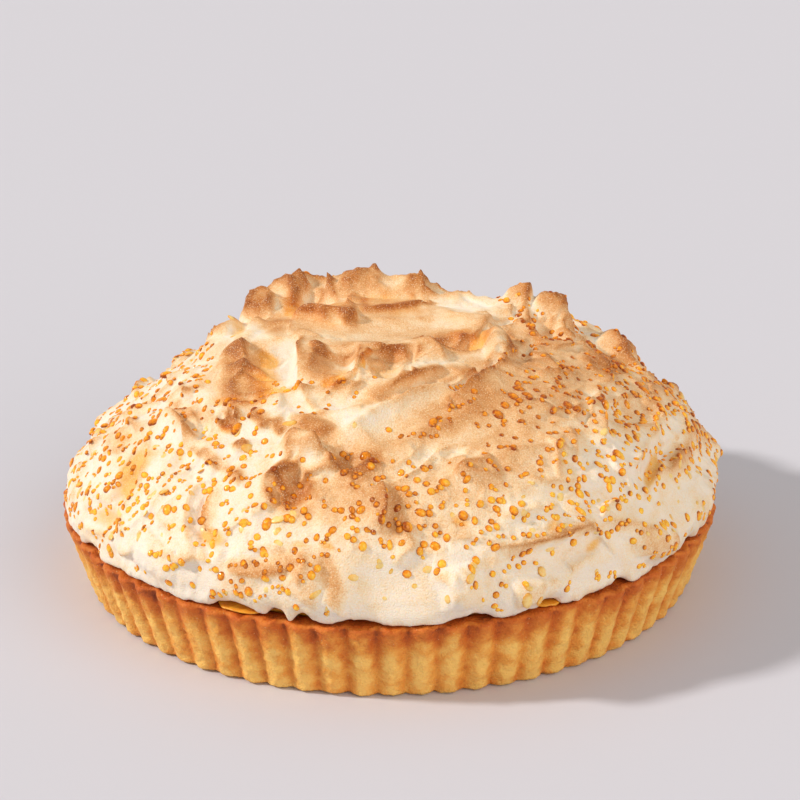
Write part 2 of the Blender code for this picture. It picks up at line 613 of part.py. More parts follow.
def build_bead(name, centre, long, wide, turn, normal, material):
    """A six-sided bead, flattened a little and half sunk in the skin."""
    normal = normal / np.linalg.norm(normal)
    first = np.cross(normal, [0.0, 0.0, 1.0])
    first /= max(np.linalg.norm(first), 1e-6)
    second = np.cross(normal, first)
    ahead = first * math.cos(turn) + second * math.sin(turn)
    aside = np.cross(normal, ahead)
    tall = wide * BEAD_FLATNESS
    points = [centre - normal * tall]
    for lift, share in BEAD_RINGS:
        for k in range(BEAD_SIDES):
            a = 2 * math.pi * (k + lift) / BEAD_SIDES
            flat = ahead * long * math.cos(a) + aside * wide * math.sin(a)
            points.append(centre + flat * share + normal * tall * lift)
    points.append(centre + normal * tall)
    last, n = len(points) - 1, BEAD_SIDES
    faces = [(0, 1 + (k + 1) % n, 1 + k) for k in range(n)]
    for k in range(n):
        a, b = 1 + k, 1 + (k + 1) % n
        faces += [(a, b, b + n), (a, b + n, a + n)]
    faces += [(last, 1 + n + k, 1 + n + (k + 1) % n) for k in range(n)]
    return new_object(name, points, faces, material)


def build_meringue():
    """The dome with its folds, and the large beads of syrup fused to it."""
    places, triangles = disc_of_rings(DOME_RINGS, SKIN_LENGTH)
    points = list(meringue_point(places))
    edge_count = 6 * DOME_RINGS
    edge_first = len(points) - edge_count
    points.append(np.array([0.0, 0.0, MERINGUE_UNDERSIDE]))
    under = len(points) - 1
    for k in range(edge_first, edge_first + edge_count):
        points[k][2] = MERINGUE_UNDERSIDE
        following = edge_first + (k - edge_first + 1) % edge_count
        triangles.append((under, following, k))
    material = new_material("toasted_meringue", (0.86, 0.72, 0.52), 0.8)
    meringue = new_object("meringue", points, triangles, material)

    beads = bpy.data.collections.new("beads")
    bpy.context.scene.collection.children.link(beads)
    placed = bead_places()
    bpy.context.view_layer.update()
    amber = new_material("caramelised_syrup", (0.75, 0.33, 0.03), 0.1)
    for k, (x, y, long, wide, turn) in enumerate(placed):
        wanted = meringue_point(np.array([(x, y)]))[0] * MM
        _, foot, normal, _ = meringue.closest_point_on_mesh(wanted)
        centre = np.array(foot) / MM
        bead = build_bead(f"bead_{k}", centre, long, wide, turn, np.array(normal), amber)
        bpy.context.scene.collection.objects.unlink(bead)
        beads.objects.link(bead)

    union = meringue.modifiers.new("fuse beads", "BOOLEAN")
    union.operand_type = "COLLECTION"
    union.collection = beads
    union.operation = "UNION"
    union.solver = "MANIFOLD"
    fused = bpy.data.meshes.new_from_object(
        meringue.evaluated_get(bpy.context.evaluated_depsgraph_get()))
    meringue.modifiers.clear()
    meringue.data = fused
    for bead in list(beads.objects):
        bpy.data.objects.remove(bead)
    bpy.data.collections.remove(beads)
    return meringue


def main():
    for thing in list(bpy.data.objects):
        bpy.data.objects.remove(thing)
    for thing in (build_crust(), build_filling(), build_meringue()):
        thing.data.shade_smooth()


main()
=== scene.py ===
"""The looks of a lemon meringue tart for a 28 cm tin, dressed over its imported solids.

The fine skin repeats the folds of the part's source and adds what is finer: spatula
marks, small folds, the torn lower edge, toasting, syrup stains and syrup beads. Shape
functions work in millimetres, and meshes are made in metres.
"""
import math
from collections import namedtuple

import bmesh
import bpy
import numpy as np
from mathutils import Matrix, Vector


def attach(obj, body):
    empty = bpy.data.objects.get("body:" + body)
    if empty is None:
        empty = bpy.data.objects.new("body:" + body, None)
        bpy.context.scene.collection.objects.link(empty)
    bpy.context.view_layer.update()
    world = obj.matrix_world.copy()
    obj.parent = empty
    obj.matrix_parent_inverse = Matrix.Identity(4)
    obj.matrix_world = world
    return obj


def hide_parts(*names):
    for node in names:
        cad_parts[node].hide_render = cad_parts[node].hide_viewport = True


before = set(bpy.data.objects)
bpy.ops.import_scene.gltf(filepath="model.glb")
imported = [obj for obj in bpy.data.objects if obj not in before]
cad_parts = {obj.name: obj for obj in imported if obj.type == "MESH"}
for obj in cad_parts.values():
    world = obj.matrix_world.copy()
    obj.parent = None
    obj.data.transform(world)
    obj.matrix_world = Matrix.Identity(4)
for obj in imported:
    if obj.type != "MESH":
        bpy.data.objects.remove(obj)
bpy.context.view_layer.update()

MM = 0.001

# Crust, baked in a fluted tin of 28 cm across the rim
RIM_RADIUS = 140.0
BASE_RADIUS = 130.8
CRUST_HEIGHT = 33.4
FLUTES = 74
POINTS_A_FLUTE = 18
FLUTE_DEPTH_AT_RIM = 3.1
FLUTE_DEPTH_AT_BASE = 2.5
FLUTE_SOFTNESS = 0.02
WALL_INSET = 0.5
RIM_ROUNDING = 1.4
RIM_DIP = 0.4
FOOT_BEVEL = 1.2
WALL_TOP_INNER_RADIUS = 130.5
WALL_FOOT_INNER_RADIUS = 123.5
FLOOR_THICKNESS = 4.0
WALL_ROWS = 30
UNROLLED_HEIGHT = 33.0

# How baking left it uneven: size of the lumps, amount in millimetres, and seed
SLUMP = ((22, 0.5, 11), (8, 0.35, 12))
DEPTH_SWING = ((11, 0.25, 13),)
RAGGED_RIM = ((5, 0.5, 14), (1.8, 0.35, 15))
RAGGED_FOOT = ((3.2, 0.5, 16),)
WALL_CRUMB = ((2.4, 0.45, 17), (1.1, 0.35, 18))
RIM_CRUMB = ((2.0, 0.35, 19),)
WORN_RIDGES = ((6, 0.1, 20),)
# Browning of each part of it, from 0 to 1
BROWN = {"under": 0.1, "foot": 0.15, "wall": 0.02, "rim": 0.66, "top": 0.8, "inside": 0.3}

# Lemon filling, with two places where it has run out over the rim: angle and half width
# in degrees, and reach. Its lip is rounded: set back, and level over the crust
FILLING_TOP = 34.5
FLANGE_RADIUS = 131.0
RUNS = ((-115.0, 5.0, 6.4), (-64.0, 4.0, 5.2))
FILLING_WOBBLE = ((3.0, 0.5, 61),)
FILLING_LIP = ((0.5, 0.2), (0.0, 0.6), (0.3, 0.95))
FILLING_TOP_INSET = 1.4
FILLING_STEPS = 720
FOOT_GAP = (0.9, 0.3)
WALL_GAP = 0.7

# Meringue: a dome that is broader than a sphere and tucked in at its lower edge
MERINGUE_UNDERSIDE = 34.8
MERINGUE_RADIUS = 138.6
WIDEST_LEVEL = 43.0
SUMMIT_LEVEL = 104.0
SIDE_POWER = 2.2
TOP_POWER = 1.6
EDGE_TUCK = 2.6
EDGE_FADE = 8.0
EDGE_BAND = 9.0
UNDER_EDGE_INSET = 5.0
UNDER_EDGE_DROP = 0.2
EDGE_CLEARANCE = 0.3
SKIN_RINGS = 178
FRONT_CROWDING = 0.38

# How strokes are cut and raised
SCOOP_WALL = 4.0
SCOOP_BLEND = 0.6
LIP_SPREAD = 0.16
CREST_TIP = 0.6
CREST_FALL = 1.3
MOUND_ROUNDNESS = 1.3
LEAN_POWER = 1.5
STROKE_SEED = 100
# Share of its depth or height that a stroke keeps at its ends
SCOOP_ENDS = 0.15
MOUND_ENDS = 0.3
# Fine marks of the spatula along a stroke (width and length, and depth in a scoop), and
# size of the tears that make a raised fold uneven
MARK_SIZE = (1.5, 16)
MARK_DEPTH = 0.12
TEAR_SIZE = 3.2
# A patch's amount falls by this power of its distance
PATCH_FALL = 0.7

# How hand work strays from true: size of the lumps, amount in millimetres, and seed
WANDER_ACROSS = ((24, 1.0, 1), (7, 0.35, 3))
WANDER_ALONG = ((24, 1.0, 2), (7, 0.35, 4))
UNEVENNESS = ((34, 1.2, 5), (14, 0.5, 6))
EDGE_LOBES = ((16, 1.3, 8), (6, 0.9, 9))
LOBE_RING = 60.0
RAGGED_EDGE = ((8.5, 1.3, 84), (3.7, 0.5, 81), (1.6, 0.2, 82))
FOAM_SWIRL = ((5, 1.5, 71), (5, 1.5, 72))
FOAM_RIDGES = ((11, 0.34, 73), (5.2, 0.24, 76))
FOAM_GRAIN = ((3.2, 0.07, 74), (1.7, 0.05, 75))
CRUMPLES = ((9, 1.5, 77), (4.3, 0.8, 78))

# Where the lower edge lifts off the rim: angle and half width in degrees, then how far
# it lifts and draws in
EDGE_GAPS = (
    (-149, 3.5, 1.6, 1.0), (-115.5, 3.4, 2.4, 4.4), (-108, 1.6, 2.2, 2.5),
    (-104, 1.4, 1.8, 1.5), (-95.5, 3.0, 2.0, 2.0), (-76, 2.0, 1.4, 1.0),
    (-64, 1.8, 2.2, 1.5), (-50, 1.8, 2.2, 1.5), (-30, 2.0, 1.4, 1.0),
)

# Toast gathers everywhere a little, high at the back, on raised folds, on keen edges,
# and where the patches say; some of the patches' darkening is painted shade. Clouds: size
# in millimetres, amount, and seed
TOAST_EVERYWHERE = 0.07
TOAST_AT_BACK = 0.34
TOAST_ON_RAISED = 0.04
TOAST_ON_KEEN = 0.2
TOAST_AND_SHADE_OF_PATCHES = 1.2
MOST_TOAST = 0.92
TOAST_CLOUDS = ((18, 0.09, 91), (7, 0.07, 92))
SOAK_CLOUDS = ((11, 0.12, 93),)
SOAK_OFF_RAISED = 0.06
# Rounds of evening out that tell raised folds and keen edges from what is around them
RAISED_ROUNDS = 90
KEEN_ROUNDS = 12

# Beads of caramelised syrup: the large ones are in the part's source too. Tallness is
# for their width, and sink for their height
LARGE_BEADS = 64
MOST_SMALL_BEADS = 2380
BEAD_SEED = 7
BEAD_TRIES = 8000
BARE_TOP = 55.0
SMALL_BEAD_SEED = 31
BEAD_TALLNESS, BEAD_SINK = 0.82, 0.32
BLOB_SHARE = 0.06
FOLLOWERS = (0, 0, 0, 1, 1, 2)
# Painted lens shade: each drop's colour is made darkest on its side towards the window light
# and brightest on the far side, where a clear drop gathers light; painted ring shade darkens its base
LENS_SHADE = 0.4
RING_SHADE = 0.85
# Flat dry pools of thin syrup
POOLS = 330
POOL_SEED = 43
POOL_TALLNESS, POOL_SINK = 0.3, 0.72

# Places are in millimetres along the skin of the unrolled dome from the summit, +X
# right and -Y front. Left and right are a stroke's widths to each side
Mound = namedtuple("Mound", "x y to_x to_y bow height left right overhang", defaults=(0,))
Scoop = namedtuple("Scoop", "x y to_x to_y bow depth left right lip", defaults=(0,))
Crest = namedtuple("Crest", "x y to_x to_y bow height left right overhang")
Peak = namedtuple("Peak", "x y height width lean_x lean_y")
Swell = namedtuple("Swell", "x y radius height")
Patch = namedtuple("Patch", "x y long wide turn amount")
Row = namedtuple("Row", "x y to_x to_y beads radius")
Sun = namedtuple("Sun", "name run strength softness colour")

# How far out a stroke is worked, in its own widths
STROKE_REACH = {Mound: 1.1, Scoop: 2.5, Crest: 4.5}

# Broad leans and hollows of the dome
BROAD_FORM = (
    Swell(-112, 8, 38, -10), Swell(-60, 2, 30, 4), Swell(104, 30, 40, 5), Swell(150, 0, 28, 0.8),
    Swell(161, 6, 8, 4.6), Swell(45, -75, 45, 3), Swell(-95, -75, 40, -2), Swell(5, -130, 40, 2),
    Swell(-5, -6, 24, -1), Swell(-112, 66, 36, -10), Swell(-153, 22, 26, -6),
    Swell(-146, 36, 12, 4.5), Swell(123, 38, 27, -9.5),
)

SUMMIT = (
    # Two ridges at the back, with a blunt right end
    Mound(-54, 42, -22, 52, 2, 8.3, 13, 15), Mound(-24, 54, 25, 50, 1, 11.4, 15, 17),
    Crest(-49, 44, -22, 48, 3, 3.4, 6, 5, 0.6), Crest(-22, 53, 2, 56, 1, 1.6, 5, 8, 0.6),
    Scoop(4, 62, 2, 40, 0, 2.4, 7, 7), Peak(-36, 50, 6.5, 2.4, -1, 1),
    Scoop(-40, 50, -28, 33, 2, 4.5, 7, 8, 1), Scoop(-52, 48, -46, 36, 2, 4, 6, 6, 1),
    Crest(13, 58, 19, 37, 0, 2.2, 3, 3, 1.2), Crest(20, 50, 22, 36, 0, 2.4, 3.5, 2.5, 1),
    # Left lump with its toasted cap, the thin fin, and the flank beside them
    Mound(-64, 30, -47, 34, 2, 9.5, 11, 10), Mound(-76, 12, -66, 24, 0, 7.2, 9, 9),
    Crest(-64, 31, -47, 30, 2, 2.6, 8, 2.5, 1.8), Crest(-56, 21, -53, -8, 0, 5, 1.8, 2.6, 0.3),
    # Plateau, smoothed flat
    Scoop(-44, -2, 40, 4, -8, 1.8, 14, 15, 0.4),
    # Rough toasted lip that hangs over the plateau, with a curl in it
    Crest(-40, 13, -24, 4, 5, 6.5, 7, 2.2, 3), Crest(-20, 4, -12, 8, 1, 4.6, 7, 2.2, 2.6),
    Crest(-12, 14, 21, 34, -2, 2.8, 7, 2.4, 2), Peak(-15, 17, 4.5, 3.6, -2, 1),
    # Ledge and blocky peaks on the right skyline
    Mound(28, 38, 46, 36, 0, 3, 8, 9), Mound(44, 27, 80, 22, 2, 4, 12, 9),
    Mound(50, 38, 62, 38, 0, 8.5, 9, 10), Mound(62, 34, 76, 32, 0, 11.5, 9, 10),
    Peak(29, 40, 3.2, 1.6, 0, 1), Peak(36, 40, 1.8, 1.6, 0, 1), Peak(58, 39, 2.4, 1.8, 1, 0),
    Crest(62, 40, 73, 36, 2, 3, 4, 3, 0.8), Crest(73, 35, 69, 12, -1, 4, 3.5, 6, 0.8),
    Crest(23, 27, 40, 9, -6, 1.6, 4, 6, 0.8), Crest(36, 19, 43, -2, 2, 3.2, 3, 7, 1.4),
    Crest(49, 12, 63, -6, 5, 2.6, 4, 3, 1), Mound(92, 26, 108, 16, 2, 6, 10, 9),
    Peak(75, 28, 1.8, 1.5, 0, 1), Crest(83, -9, 85, -24, 1, 1.6, 4, 2, 0.8),
)

FRONT = (
    # Three hollows under the plateau, and the brown mound at their left
    Mound(-68, -20, -51, -17, 3, 4.5, 8, 11), Mound(-60, -37, -56, -60, -1, 3.2, 12, 11),
    Scoop(-41, -9, -44, -45, 1, 6.5, 6, 16, 0.8), Scoop(-18, -22, -21, -52, 1, 5.5, 6, 11, 0.6),
    Scoop(-1, -28, -6, -53, 2, 4.5, 10, 9, 0.6), Scoop(8, -27, 8, -42, 0, 3.5, 2.6, 2.6),
    Scoop(21, -13, 37, -14, -7, 6.5, 8, 8, 0.8),
    # Folds between the hollows
    Crest(-69, -29, -50, -37, 2, 1.8, 2.4, 4.5, 1.2),
    Crest(-51, -31, -40, -19, -3, 1.2, 2.4, 5, 0.6), Crest(-37, -15, -35, -54, 2, 3.4, 7, 2, 1.6),
    Mound(-28, -31, -29, -58, 1, 2.6, 12, 8), Crest(-23, -62, -11, -39, -4, 3.8, 8, 1.8, 1.4),
    Crest(-11, -41, -1, -28, 2, 3.2, 7, 2.2, 1.4), Crest(-48, -62, -33, -63, 0, 2, 3, 6, 1),
    Crest(-53, -65, -23, -64, 0, 1.8, 4, 4, 0.6),
    # Lip of the plateau, with a torn bit, and the sharp fold at its right end
    Crest(-53, 0, -31, -17, -1, 1.4, 9, 3, 1), Mound(-30, -20, -24, -29, 0, 2.6, 3.5, 3, 0.8),
    Crest(-24, -28, -12, -25, 0, 1.8, 6, 2.4, 1.2), Crest(-12, -29, 9, -31, 3, 2.8, 8, 2.4, 2),
    Peak(13, -18, 4.5, 4, 0, -3), Crest(14, -20, 22, -41, 0, 4.5, 2.4, 9, 1.2),
    Crest(17, -13, 31, -16, 0, 2, 9, 2.2, 1.6), Crest(31, -16, 42, 10, 0, 2.4, 8, 2.4, 1.6),
    Mound(44, -8, 45, -35, 0, 6.5, 9, 6.5),
    # Left flank: knife edges with toasted backs
    Crest(-93, -38, -76, -41, 1, 2.6, 9, 2.6, 1.2), Scoop(-88, -42, -79, -44, -1, 2.6, 4, 6),
    Crest(-94, -46, -77, -77, 0, 3.2, 2.6, 9, 1.4), Scoop(-85, -53, -77, -70, -1, 2.4, 6, 3),
    Crest(-81, -75, -66, -95, -1, 3.4, 8, 2.4, 1.6), Scoop(-87, -75, -72, -95, -1, 2.4, 7, 8, 0.4),
    Crest(-96, -39, -103, -70, 0, 2, 4, 5, 0.6), Crest(-98, -66, -107, -81, 1, 1.8, 5, 3, 0.8),
    Crest(-111, -15, -122, -51, -1, 1.6, 5, 5, 0.4), Mound(-129, 1, -111, -26, -3, 3, 7, 7),
    Mound(-97, -12, -80, -18, -1, 3, 9, 9), Mound(-75, -11, -74, 18, 0, 1.6, 9, 8),
    # Toasted knobs and the small cave beside them
    Mound(-66, -63, -62, -70, 0, 4, 6, 6, 0.6), Scoop(-68, -60, -67, -66, 0, 3.2, 2.2, 2.2, 0.5),
    Scoop(-64, -59, -64, -70, 1, 4.2, 2.2, 2.2, 0.5), Crest(-56, -67, -41, -75, -1, 3.6, 8, 2.4, 2),
    Peak(-50, -75, 3.4, 3.2, 0, -4), Peak(-43, -81, 2.6, 2.6, 0, -2),
    Mound(-61, -82, -55, -85, -1, 3, 4, 4, 0.5),
    # Three-cornered face with its crisp edge, a curl, and the shaded hollow beneath
    Mound(-36, -79, -23, -89, 1, 3, 7, 8), Crest(-42, -84, -20, -109, 2, 5, 3.2, 11, 1.6),
    Crest(-9, -102, -3, -111, 0, 2.8, 2.4, 7, 1.2), Scoop(-19, -95, -12, -107, -1, 2.4, 7, 5),
    Mound(-47, -109, -38, -108, 5, 3.6, 5, 4, 0.6), Peak(-42, -113, 4.6, 2.6, 0, -4),
    Crest(-40, -111, -26, -105, 2, 2.8, 7, 2.4, 1.6),
    Scoop(-46, -114, -31, -110, -1, 5, 8, 11, 0.4), Crest(-5, -113, -4, -134, 2, 2.4, 2.4, 6, 1),
    Crest(-16, -114, -4, -121, -1, 1.4, 3, 2, 0.6), Crest(5, -125, 1, -133, 1, 1.2, 2, 4, 0.6),
    # Long sweeps that climb to the right, and the groove of beads
    Scoop(-43, -66, -7, -63, -3, 3, 7, 8, 0.6), Scoop(-4, -70, 28, -49, 0, 3.6, 6, 7),
    Scoop(-9, -89, 26, -67, 0, 3.6, 9, 13), Scoop(9, -99, 52, -76, 1, 2.4, 14, 16),
    Scoop(25, -64, 45, -34, -1, 3.6, 3.4, 3.4, 0.6), Crest(-6, -69, 23, -47, 2, 3.4, 10, 3, 1.4),
    Crest(-19, -92, 25, -62, 3, 4.6, 6, 8, 1.4), Crest(24, -69, 47, -33, -3, 3.2, 2.2, 9, 1.2),
    Crest(24, -110, 39, -98, 1, 2.8, 3, 8, 1), Crest(39, -98, 73, -87, 1, 1.6, 3, 6, 0.6),
    Mound(64, -83, 68, -90, 0, 2.8, 5, 3, 0.4),
    # Right flank
    Crest(87, -36, 100, -31, 5, 1.6, 4, 4, 0.6), Crest(83, -46, 78, -63, -1, 2, 3, 5, 0.8),
    Scoop(94, -54, 111, -32, 1, 3, 8, 8, 0.6), Crest(86, -60, 104, -52, -4, 1.4, 4, 4, 0.5),
    Scoop(124, -38, 105, -88, 2, 4, 7, 8, 0.6), Crest(127, -43, 106, -94, 1, 4, 9, 2.6, 1.4),
    Scoop(153, -8, 115, -97, 4, 3, 8, 11), Mound(123, -10, 133, -29, 1, 2.6, 8, 8),
    Mound(80, -92, 92, -90, -2, 2, 10, 10), Crest(143, -39, 130, -79, 1, 1.6, 6, 6, 0.4),
    # Lower right: a toasted streak over smooth white valleys
    Crest(32, -145, 85, -114, 0, 2.6, 10, 3.2, 1.6), Crest(86, -113, 119, -100, 1, 2.6, 7, 4, 1),
    Scoop(42, -142, 92, -118, -2, 4, 6, 11, 0.4), Crest(66, -142, 91, -121, -2, 2.2, 3, 8, 0.8),
    Mound(51, -153, 67, -150, 1, 4, 8, 7, 0.6), Mound(106, -113, 127, -100, 0, 3.4, 8, 8, 0.6),
    Scoop(75, -142, 103, -123, -2, 2, 6, 8),
    # Lower middle: a broad smooth bowl between soft rolls
    Swell(-8, -154, 14, -3.2), Swell(7, -154, 15, -3.4), Mound(-36, -143, -37, -157, 2, 3, 9, 11),
    Mound(25, -144, 30, -160, 0, 5, 10, 9), Crest(16, -148, 26, -158, 3, 2.6, 6, 2.2, 1),
    Crest(-29, -155, -20, -165, 1, 1.8, 6, 3, 0.6),
    # Lower left: rounded lobes, a curved groove and shallow pans
    Scoop(-71, -97, -75, -125, -6, 3.2, 4.5, 4.5, 0.6),
    Crest(-72, -97, -77, -126, -6, 1.6, 3, 6, 0.5), Crest(-126, -76, -110, -104, 2, 2.2, 6, 3, 0.8),
    Scoop(-138, -70, -116, -93, -1, 2.6, 8, 7, 0.4), Scoop(-110, -70, -121, -77, 4, 3, 8, 8, 0.4),
    Crest(-97, -119, -68, -134, 0, 2.4, 8, 3, 0.8), Swell(-54, -122, 13, 1.8),
    Swell(-50, -133, 10, -1.4), Crest(-68, -136, -36, -141, -4, 2.4, 6, 3, 1),
    Mound(-112, -107, -92, -129, -1, 2.4, 12, 10), Mound(-99, -95, -83, -114, 1, 1.8, 12, 12),
)

# Folds too fine for the solid
FINE_FOLDS = [Crest(*row) for row in (
    (-41, -94, -26, -103, 1, 2.5, 3, 1.6, 0.5), (-39, -89, -38, -100, -1, 2.2, 2, 3, 0.4),
    (-15, -55, -5, -52, 2, 1.8, 2, 2, 0.4), (10, -66, 24, -59, 2, 1.8, 1.6, 2.6, 0.5),
    (22, -67, 23, -75, 1, 1.4, 1.5, 2, 0.3), (26, -106, 43, -108, -2, 1.6, 3, 2, 0.3),
    (59, -82, 74, -80, -1, 2.2, 2, 3, 0.5), (71, -74, 73, -94, 2, 2.2, 2, 3, 0.5),
    (81, -78, 90, -87, 7, 2.2, 2.4, 2.4, 0.5), (88, -34, 90, -52, -3, 2.2, 2, 3, 0.5),
    (106, -29, 117, -35, 5, 2.5, 2.4, 2.4, 0.6), (51, -105, 81, -95, -3, 1.8, 3, 2, 0.3),
    (89, -87, 98, -97, 4, 2.2, 3, 2, 0.5), (42, -125, 68, -113, 1, 2.2, 3, 2, 0.5),
    (43, -148, 71, -137, 1, 1.6, 4, 2, 0.3), (-93, -12, -83, -13, 1, 2.2, 2, 2, 0.5),
    (-115, -35, -96, -37, 4, 2.5, 2, 3, 0.6), (-117, -47, -104, -43, 4, 1.8, 2, 3, 0.4),
    (-134, -40, -124, -24, -5, 2.2, 3, 3, 0.4), (-90, -86, -77, -86, -1, 1.6, 2, 2, 0.4),
    (-62, -97, -61, -105, 2, 2.9, 2, 2.6, 0.8), (-52, -100, -47, -116, 0, 2.2, 2, 3, 0.5),
    (-48, -116, -55, -119, 2, 2.2, 2, 3, 0.5), (-61, -134, -42, -137, 2, 1.8, 2, 3, 0.5),
    (-37, -138, -37, -146, 3, 2.2, 2, 2, 0.5), (-41, -144, -38, -150, 2, 1.8, 1.6, 2, 0.4),
    (8, -129, 10, -138, -2, 2.2, 2, 3, 0.5), (10, -138, 22, -138, -2, 1.4, 2, 2, 0.3),
    (2, -146, 12, -138, 2, 2.2, 3, 2, 0.5), (117, -121, 140, -93, -1, 1.8, 2, 3, 0.5),
    (120, -99, 128, -102, 3, 2.5, 3, 2, 0.6), (-41, -84, -20, -108, 0, 3.2, 1, 6, 1.2),
    (-94, -46, -79, -73, 1, 2.8, 1, 5, 1), (-82, -76, -68, -93, 1, 3, 1, 5, 1),
    (-9, -103, -4, -133, 4, 2.6, 1, 5, 0.8), (-36, -109, -20, -108, 1, 2.4, 4, 1, 0.8),
    (-62, -35, -45, -43, 3, 1.6, 4, 1, 0.5), (16, -60, 45, -40, 1, 1.8, 5, 1, 0.6),
    (-19, -66, -5, -32, -5, 2.2, 5, 1, 0.6), (84, -49, 84, -78, 3, 2.2, 1, 4, 0.6),
    (-116, -12, -87, -20, -3, 2.2, 5, 1, 0.6),
)]

# The far side carries the same kinds of stroke by a seeded rule. Depth and step share
# them out between the nearest and the furthest from the summit
BACK_STROKES = 34
BACK_SEED = 21
BACK_ANGLES = (12, 168)
BACK_NEAREST = 0.38
BACK_DEPTH = 0.58
GOLDEN_STEP = 0.618
SMALL_STROKES = 150
SMALL_STROKE_SEED = 57

# Where the foam was smoothed by the spatula, and is without grain or small folds
SMOOTHED = [Patch(*row) for row in (
    (-5, 8, 44, 22, 0, 0.8), (0, -154, 30, 13, 0, 0.95), (122, -78, 34, 12, 60, 0.9),
    (74, -136, 34, 9, 25, 0.85), (18, -70, 44, 18, 25, 0.6), (-38, -42, 9, 12, 0, 0.8),
    (44, -84, 26, 10, 10, 0.5), (-30, -146, 14, 9, 0, 0.7),
)]

# More toasted and darker (above 0) or whiter (below 0) than height alone would make the
# foam. Besides real toasting, some darkening patches are painted shade on the shaded sides
# of hollows and folds
TOAST_AND_PAINTED_SHADE = [Patch(*row) for row in (
    # Top: the plateau, the ridges behind it and their darkest folds
    (-16, -8, 39, 21, -13, 0.07), (-41, 3, 15, 9, -65, 0.13), (-17, -41, 24, 19, -25, 0.18),
    (-1, -21, 49, 17, 3, 0.13), (21, -35, 24, 11, -12, 0.16), (-23, -64, 24, 6.6, -10, 0.18),
    (57, 3, 33, 19, 68, 0.07), (80, -18, 70, 29, 58, 0.16), (-72, -27, 45, 11, -84, 0.12),
    (-23, -107, 30, 21, -14, 0.1), (16, -114, 37, 21, 5, 0.16), (-28, -143, 25, 10, -8, 0.14),
    (-16, 26, 44, 33, -40, 0.3), (-29, 25, 17, 4.5, -86, 0.14), (-35, 28, 16, 2.5, -87, 0.14),
    (-13, 43, 16, 5.4, -87, 0.12), (-43, 36, 16, 4.4, -81, 0.1), (18, 38, 29, 3.4, 88, 0.2),
    (11, 30, 21, 2, -83, 0.14), (-53, 22, 24, 6.7, -74, 0.34), (-31, 14, 7.3, 4.1, -35, 0.26),
    (-16, 5, 4.3, 3.5, -59, 0.3), (5, 23, 17, 3.2, 32, 0.26), (-10, 24, 12, 1.7, -89, 0.2),
    # Mound under the fin, and the folds around the hollows
    (-60, -20, 14, 9, -72, 0.4), (-59, -46, 17, 10, -70, 0.5), (-28, -25, 6.8, 3.2, -74, 0.4),
    (-27, -45, 15, 6.4, -86, 0.25), (-18, -30, 7.4, 4.6, -14, 0.28), (3, -31, 8.1, 4.7, 0, 0.36),
    (-1, -46, 10, 6.8, -89, 0.04), (13, -15, 4.4, 2.8, 85, 0.5), (25, -16, 15, 7.9, -84, 0.25),
    (36, 3, 14, 4.5, 79, 0.08), (51, -14, 15, 2.6, 89, 0.25),
    # Sweeps and the broad tan slope at their right
    (10, -58, 24, 6.9, 34, 0.38), (14, -82, 31, 10, 33, 0.3), (0, -73, 23, 2.5, 37, -0.09),
    (-17, -82, 10, 5.6, -77, -0.12), (54, -59, 39, 25, 39, 0.26), (45, -96, 27, 14, 17, 0.17),
    (63, 10, 36, 26, 81, 0.18), (94, -4, 25, 9, 71, 0.42), (116, -13, 53, 9, 70, 0.24),
    (146, -6, 70, 6.9, 68, 0.26), (112, -73, 18, 3.1, 75, 0.07),
    # Middle: knobs and the face with the crisp edge
    (-29, -82, 11, 7, -39, 0.5), (-25, -96, 13, 2.5, -56, 0.13), (-39, -92, 7.9, 3.2, -88, 0.22),
    (-16, -104, 10, 5.2, -44, 0.3), (-6, -103, 4.6, 3.3, 72, 0.24), (-64, -67, 6.7, 3.8, -73, 0.6),
    (-50, -72, 6.8, 3.2, -50, 0.46), (-43, -79, 4.1, 2.3, -81, 0.46),
    (-59, -83, 4.1, 2.5, -33, 0.46), (-61, -98, 4.8, 3.4, -64, 0.34),
    (-45, -106, 3.5, 2.8, -50, 0.44), (-39, -113, 8.7, 6, 1, 0.54),
    (-39, -103, 4.6, 3.7, -60, 0.34), (-5, -39, 6.9, 3.6, -89, 0.14), (1, -125, 9, 7, 89, 0.16),
    (12, -134, 17, 5.5, 3, 0.18), (-23, -118, 25, 13, -9, 0.16),
    # Left flank and lower left
    (-83, -49, 13, 4.3, -52, 0.36), (-83, -60, 12, 2.8, -64, 0.3), (-72, -85, 11, 2.4, -51, 0.42),
    (-110, -52, 18, 13, -76, 0.16), (-106, -23, 31, 10, -36, 0.12), (-72, -110, 12, 3.7, 75, 0.2),
    (-57, -139, 12, 3, -18, 0.4), (-64, -144, 8.5, 4.1, -15, 0.16), (-40, -140, 8.4, 4.5, -12, 0.2),
    (-24, -150, 10, 3.6, -72, 0.3),
    # Toasted streak at the lower right, and the lumps by the edge
    (61, -129, 33, 2.6, 30, 0.17), (91, -112, 23, 2.8, 24, 0.16), (121, -105, 20, 4.4, 31, 0.14),
    (60, -152, 11, 4.8, 8, 0.05), (40, -152, 4.8, 3.9, -79, 0.12), (26, -154, 8.8, 2.9, -85, -0.14),
    # Parts that stayed white
    (-41, -32, 19, 3.7, -87, -0.46), (-17, -41, 12, 2.2, 79, -0.1), (44, -21, 14, 3.6, 86, -0.24),
    (92, -82, 18, 11, 53, -0.12), (109, -90, 12, 3.4, 69, -0.2), (-1, -155, 21, 7.3, -1, 0.1),
)]

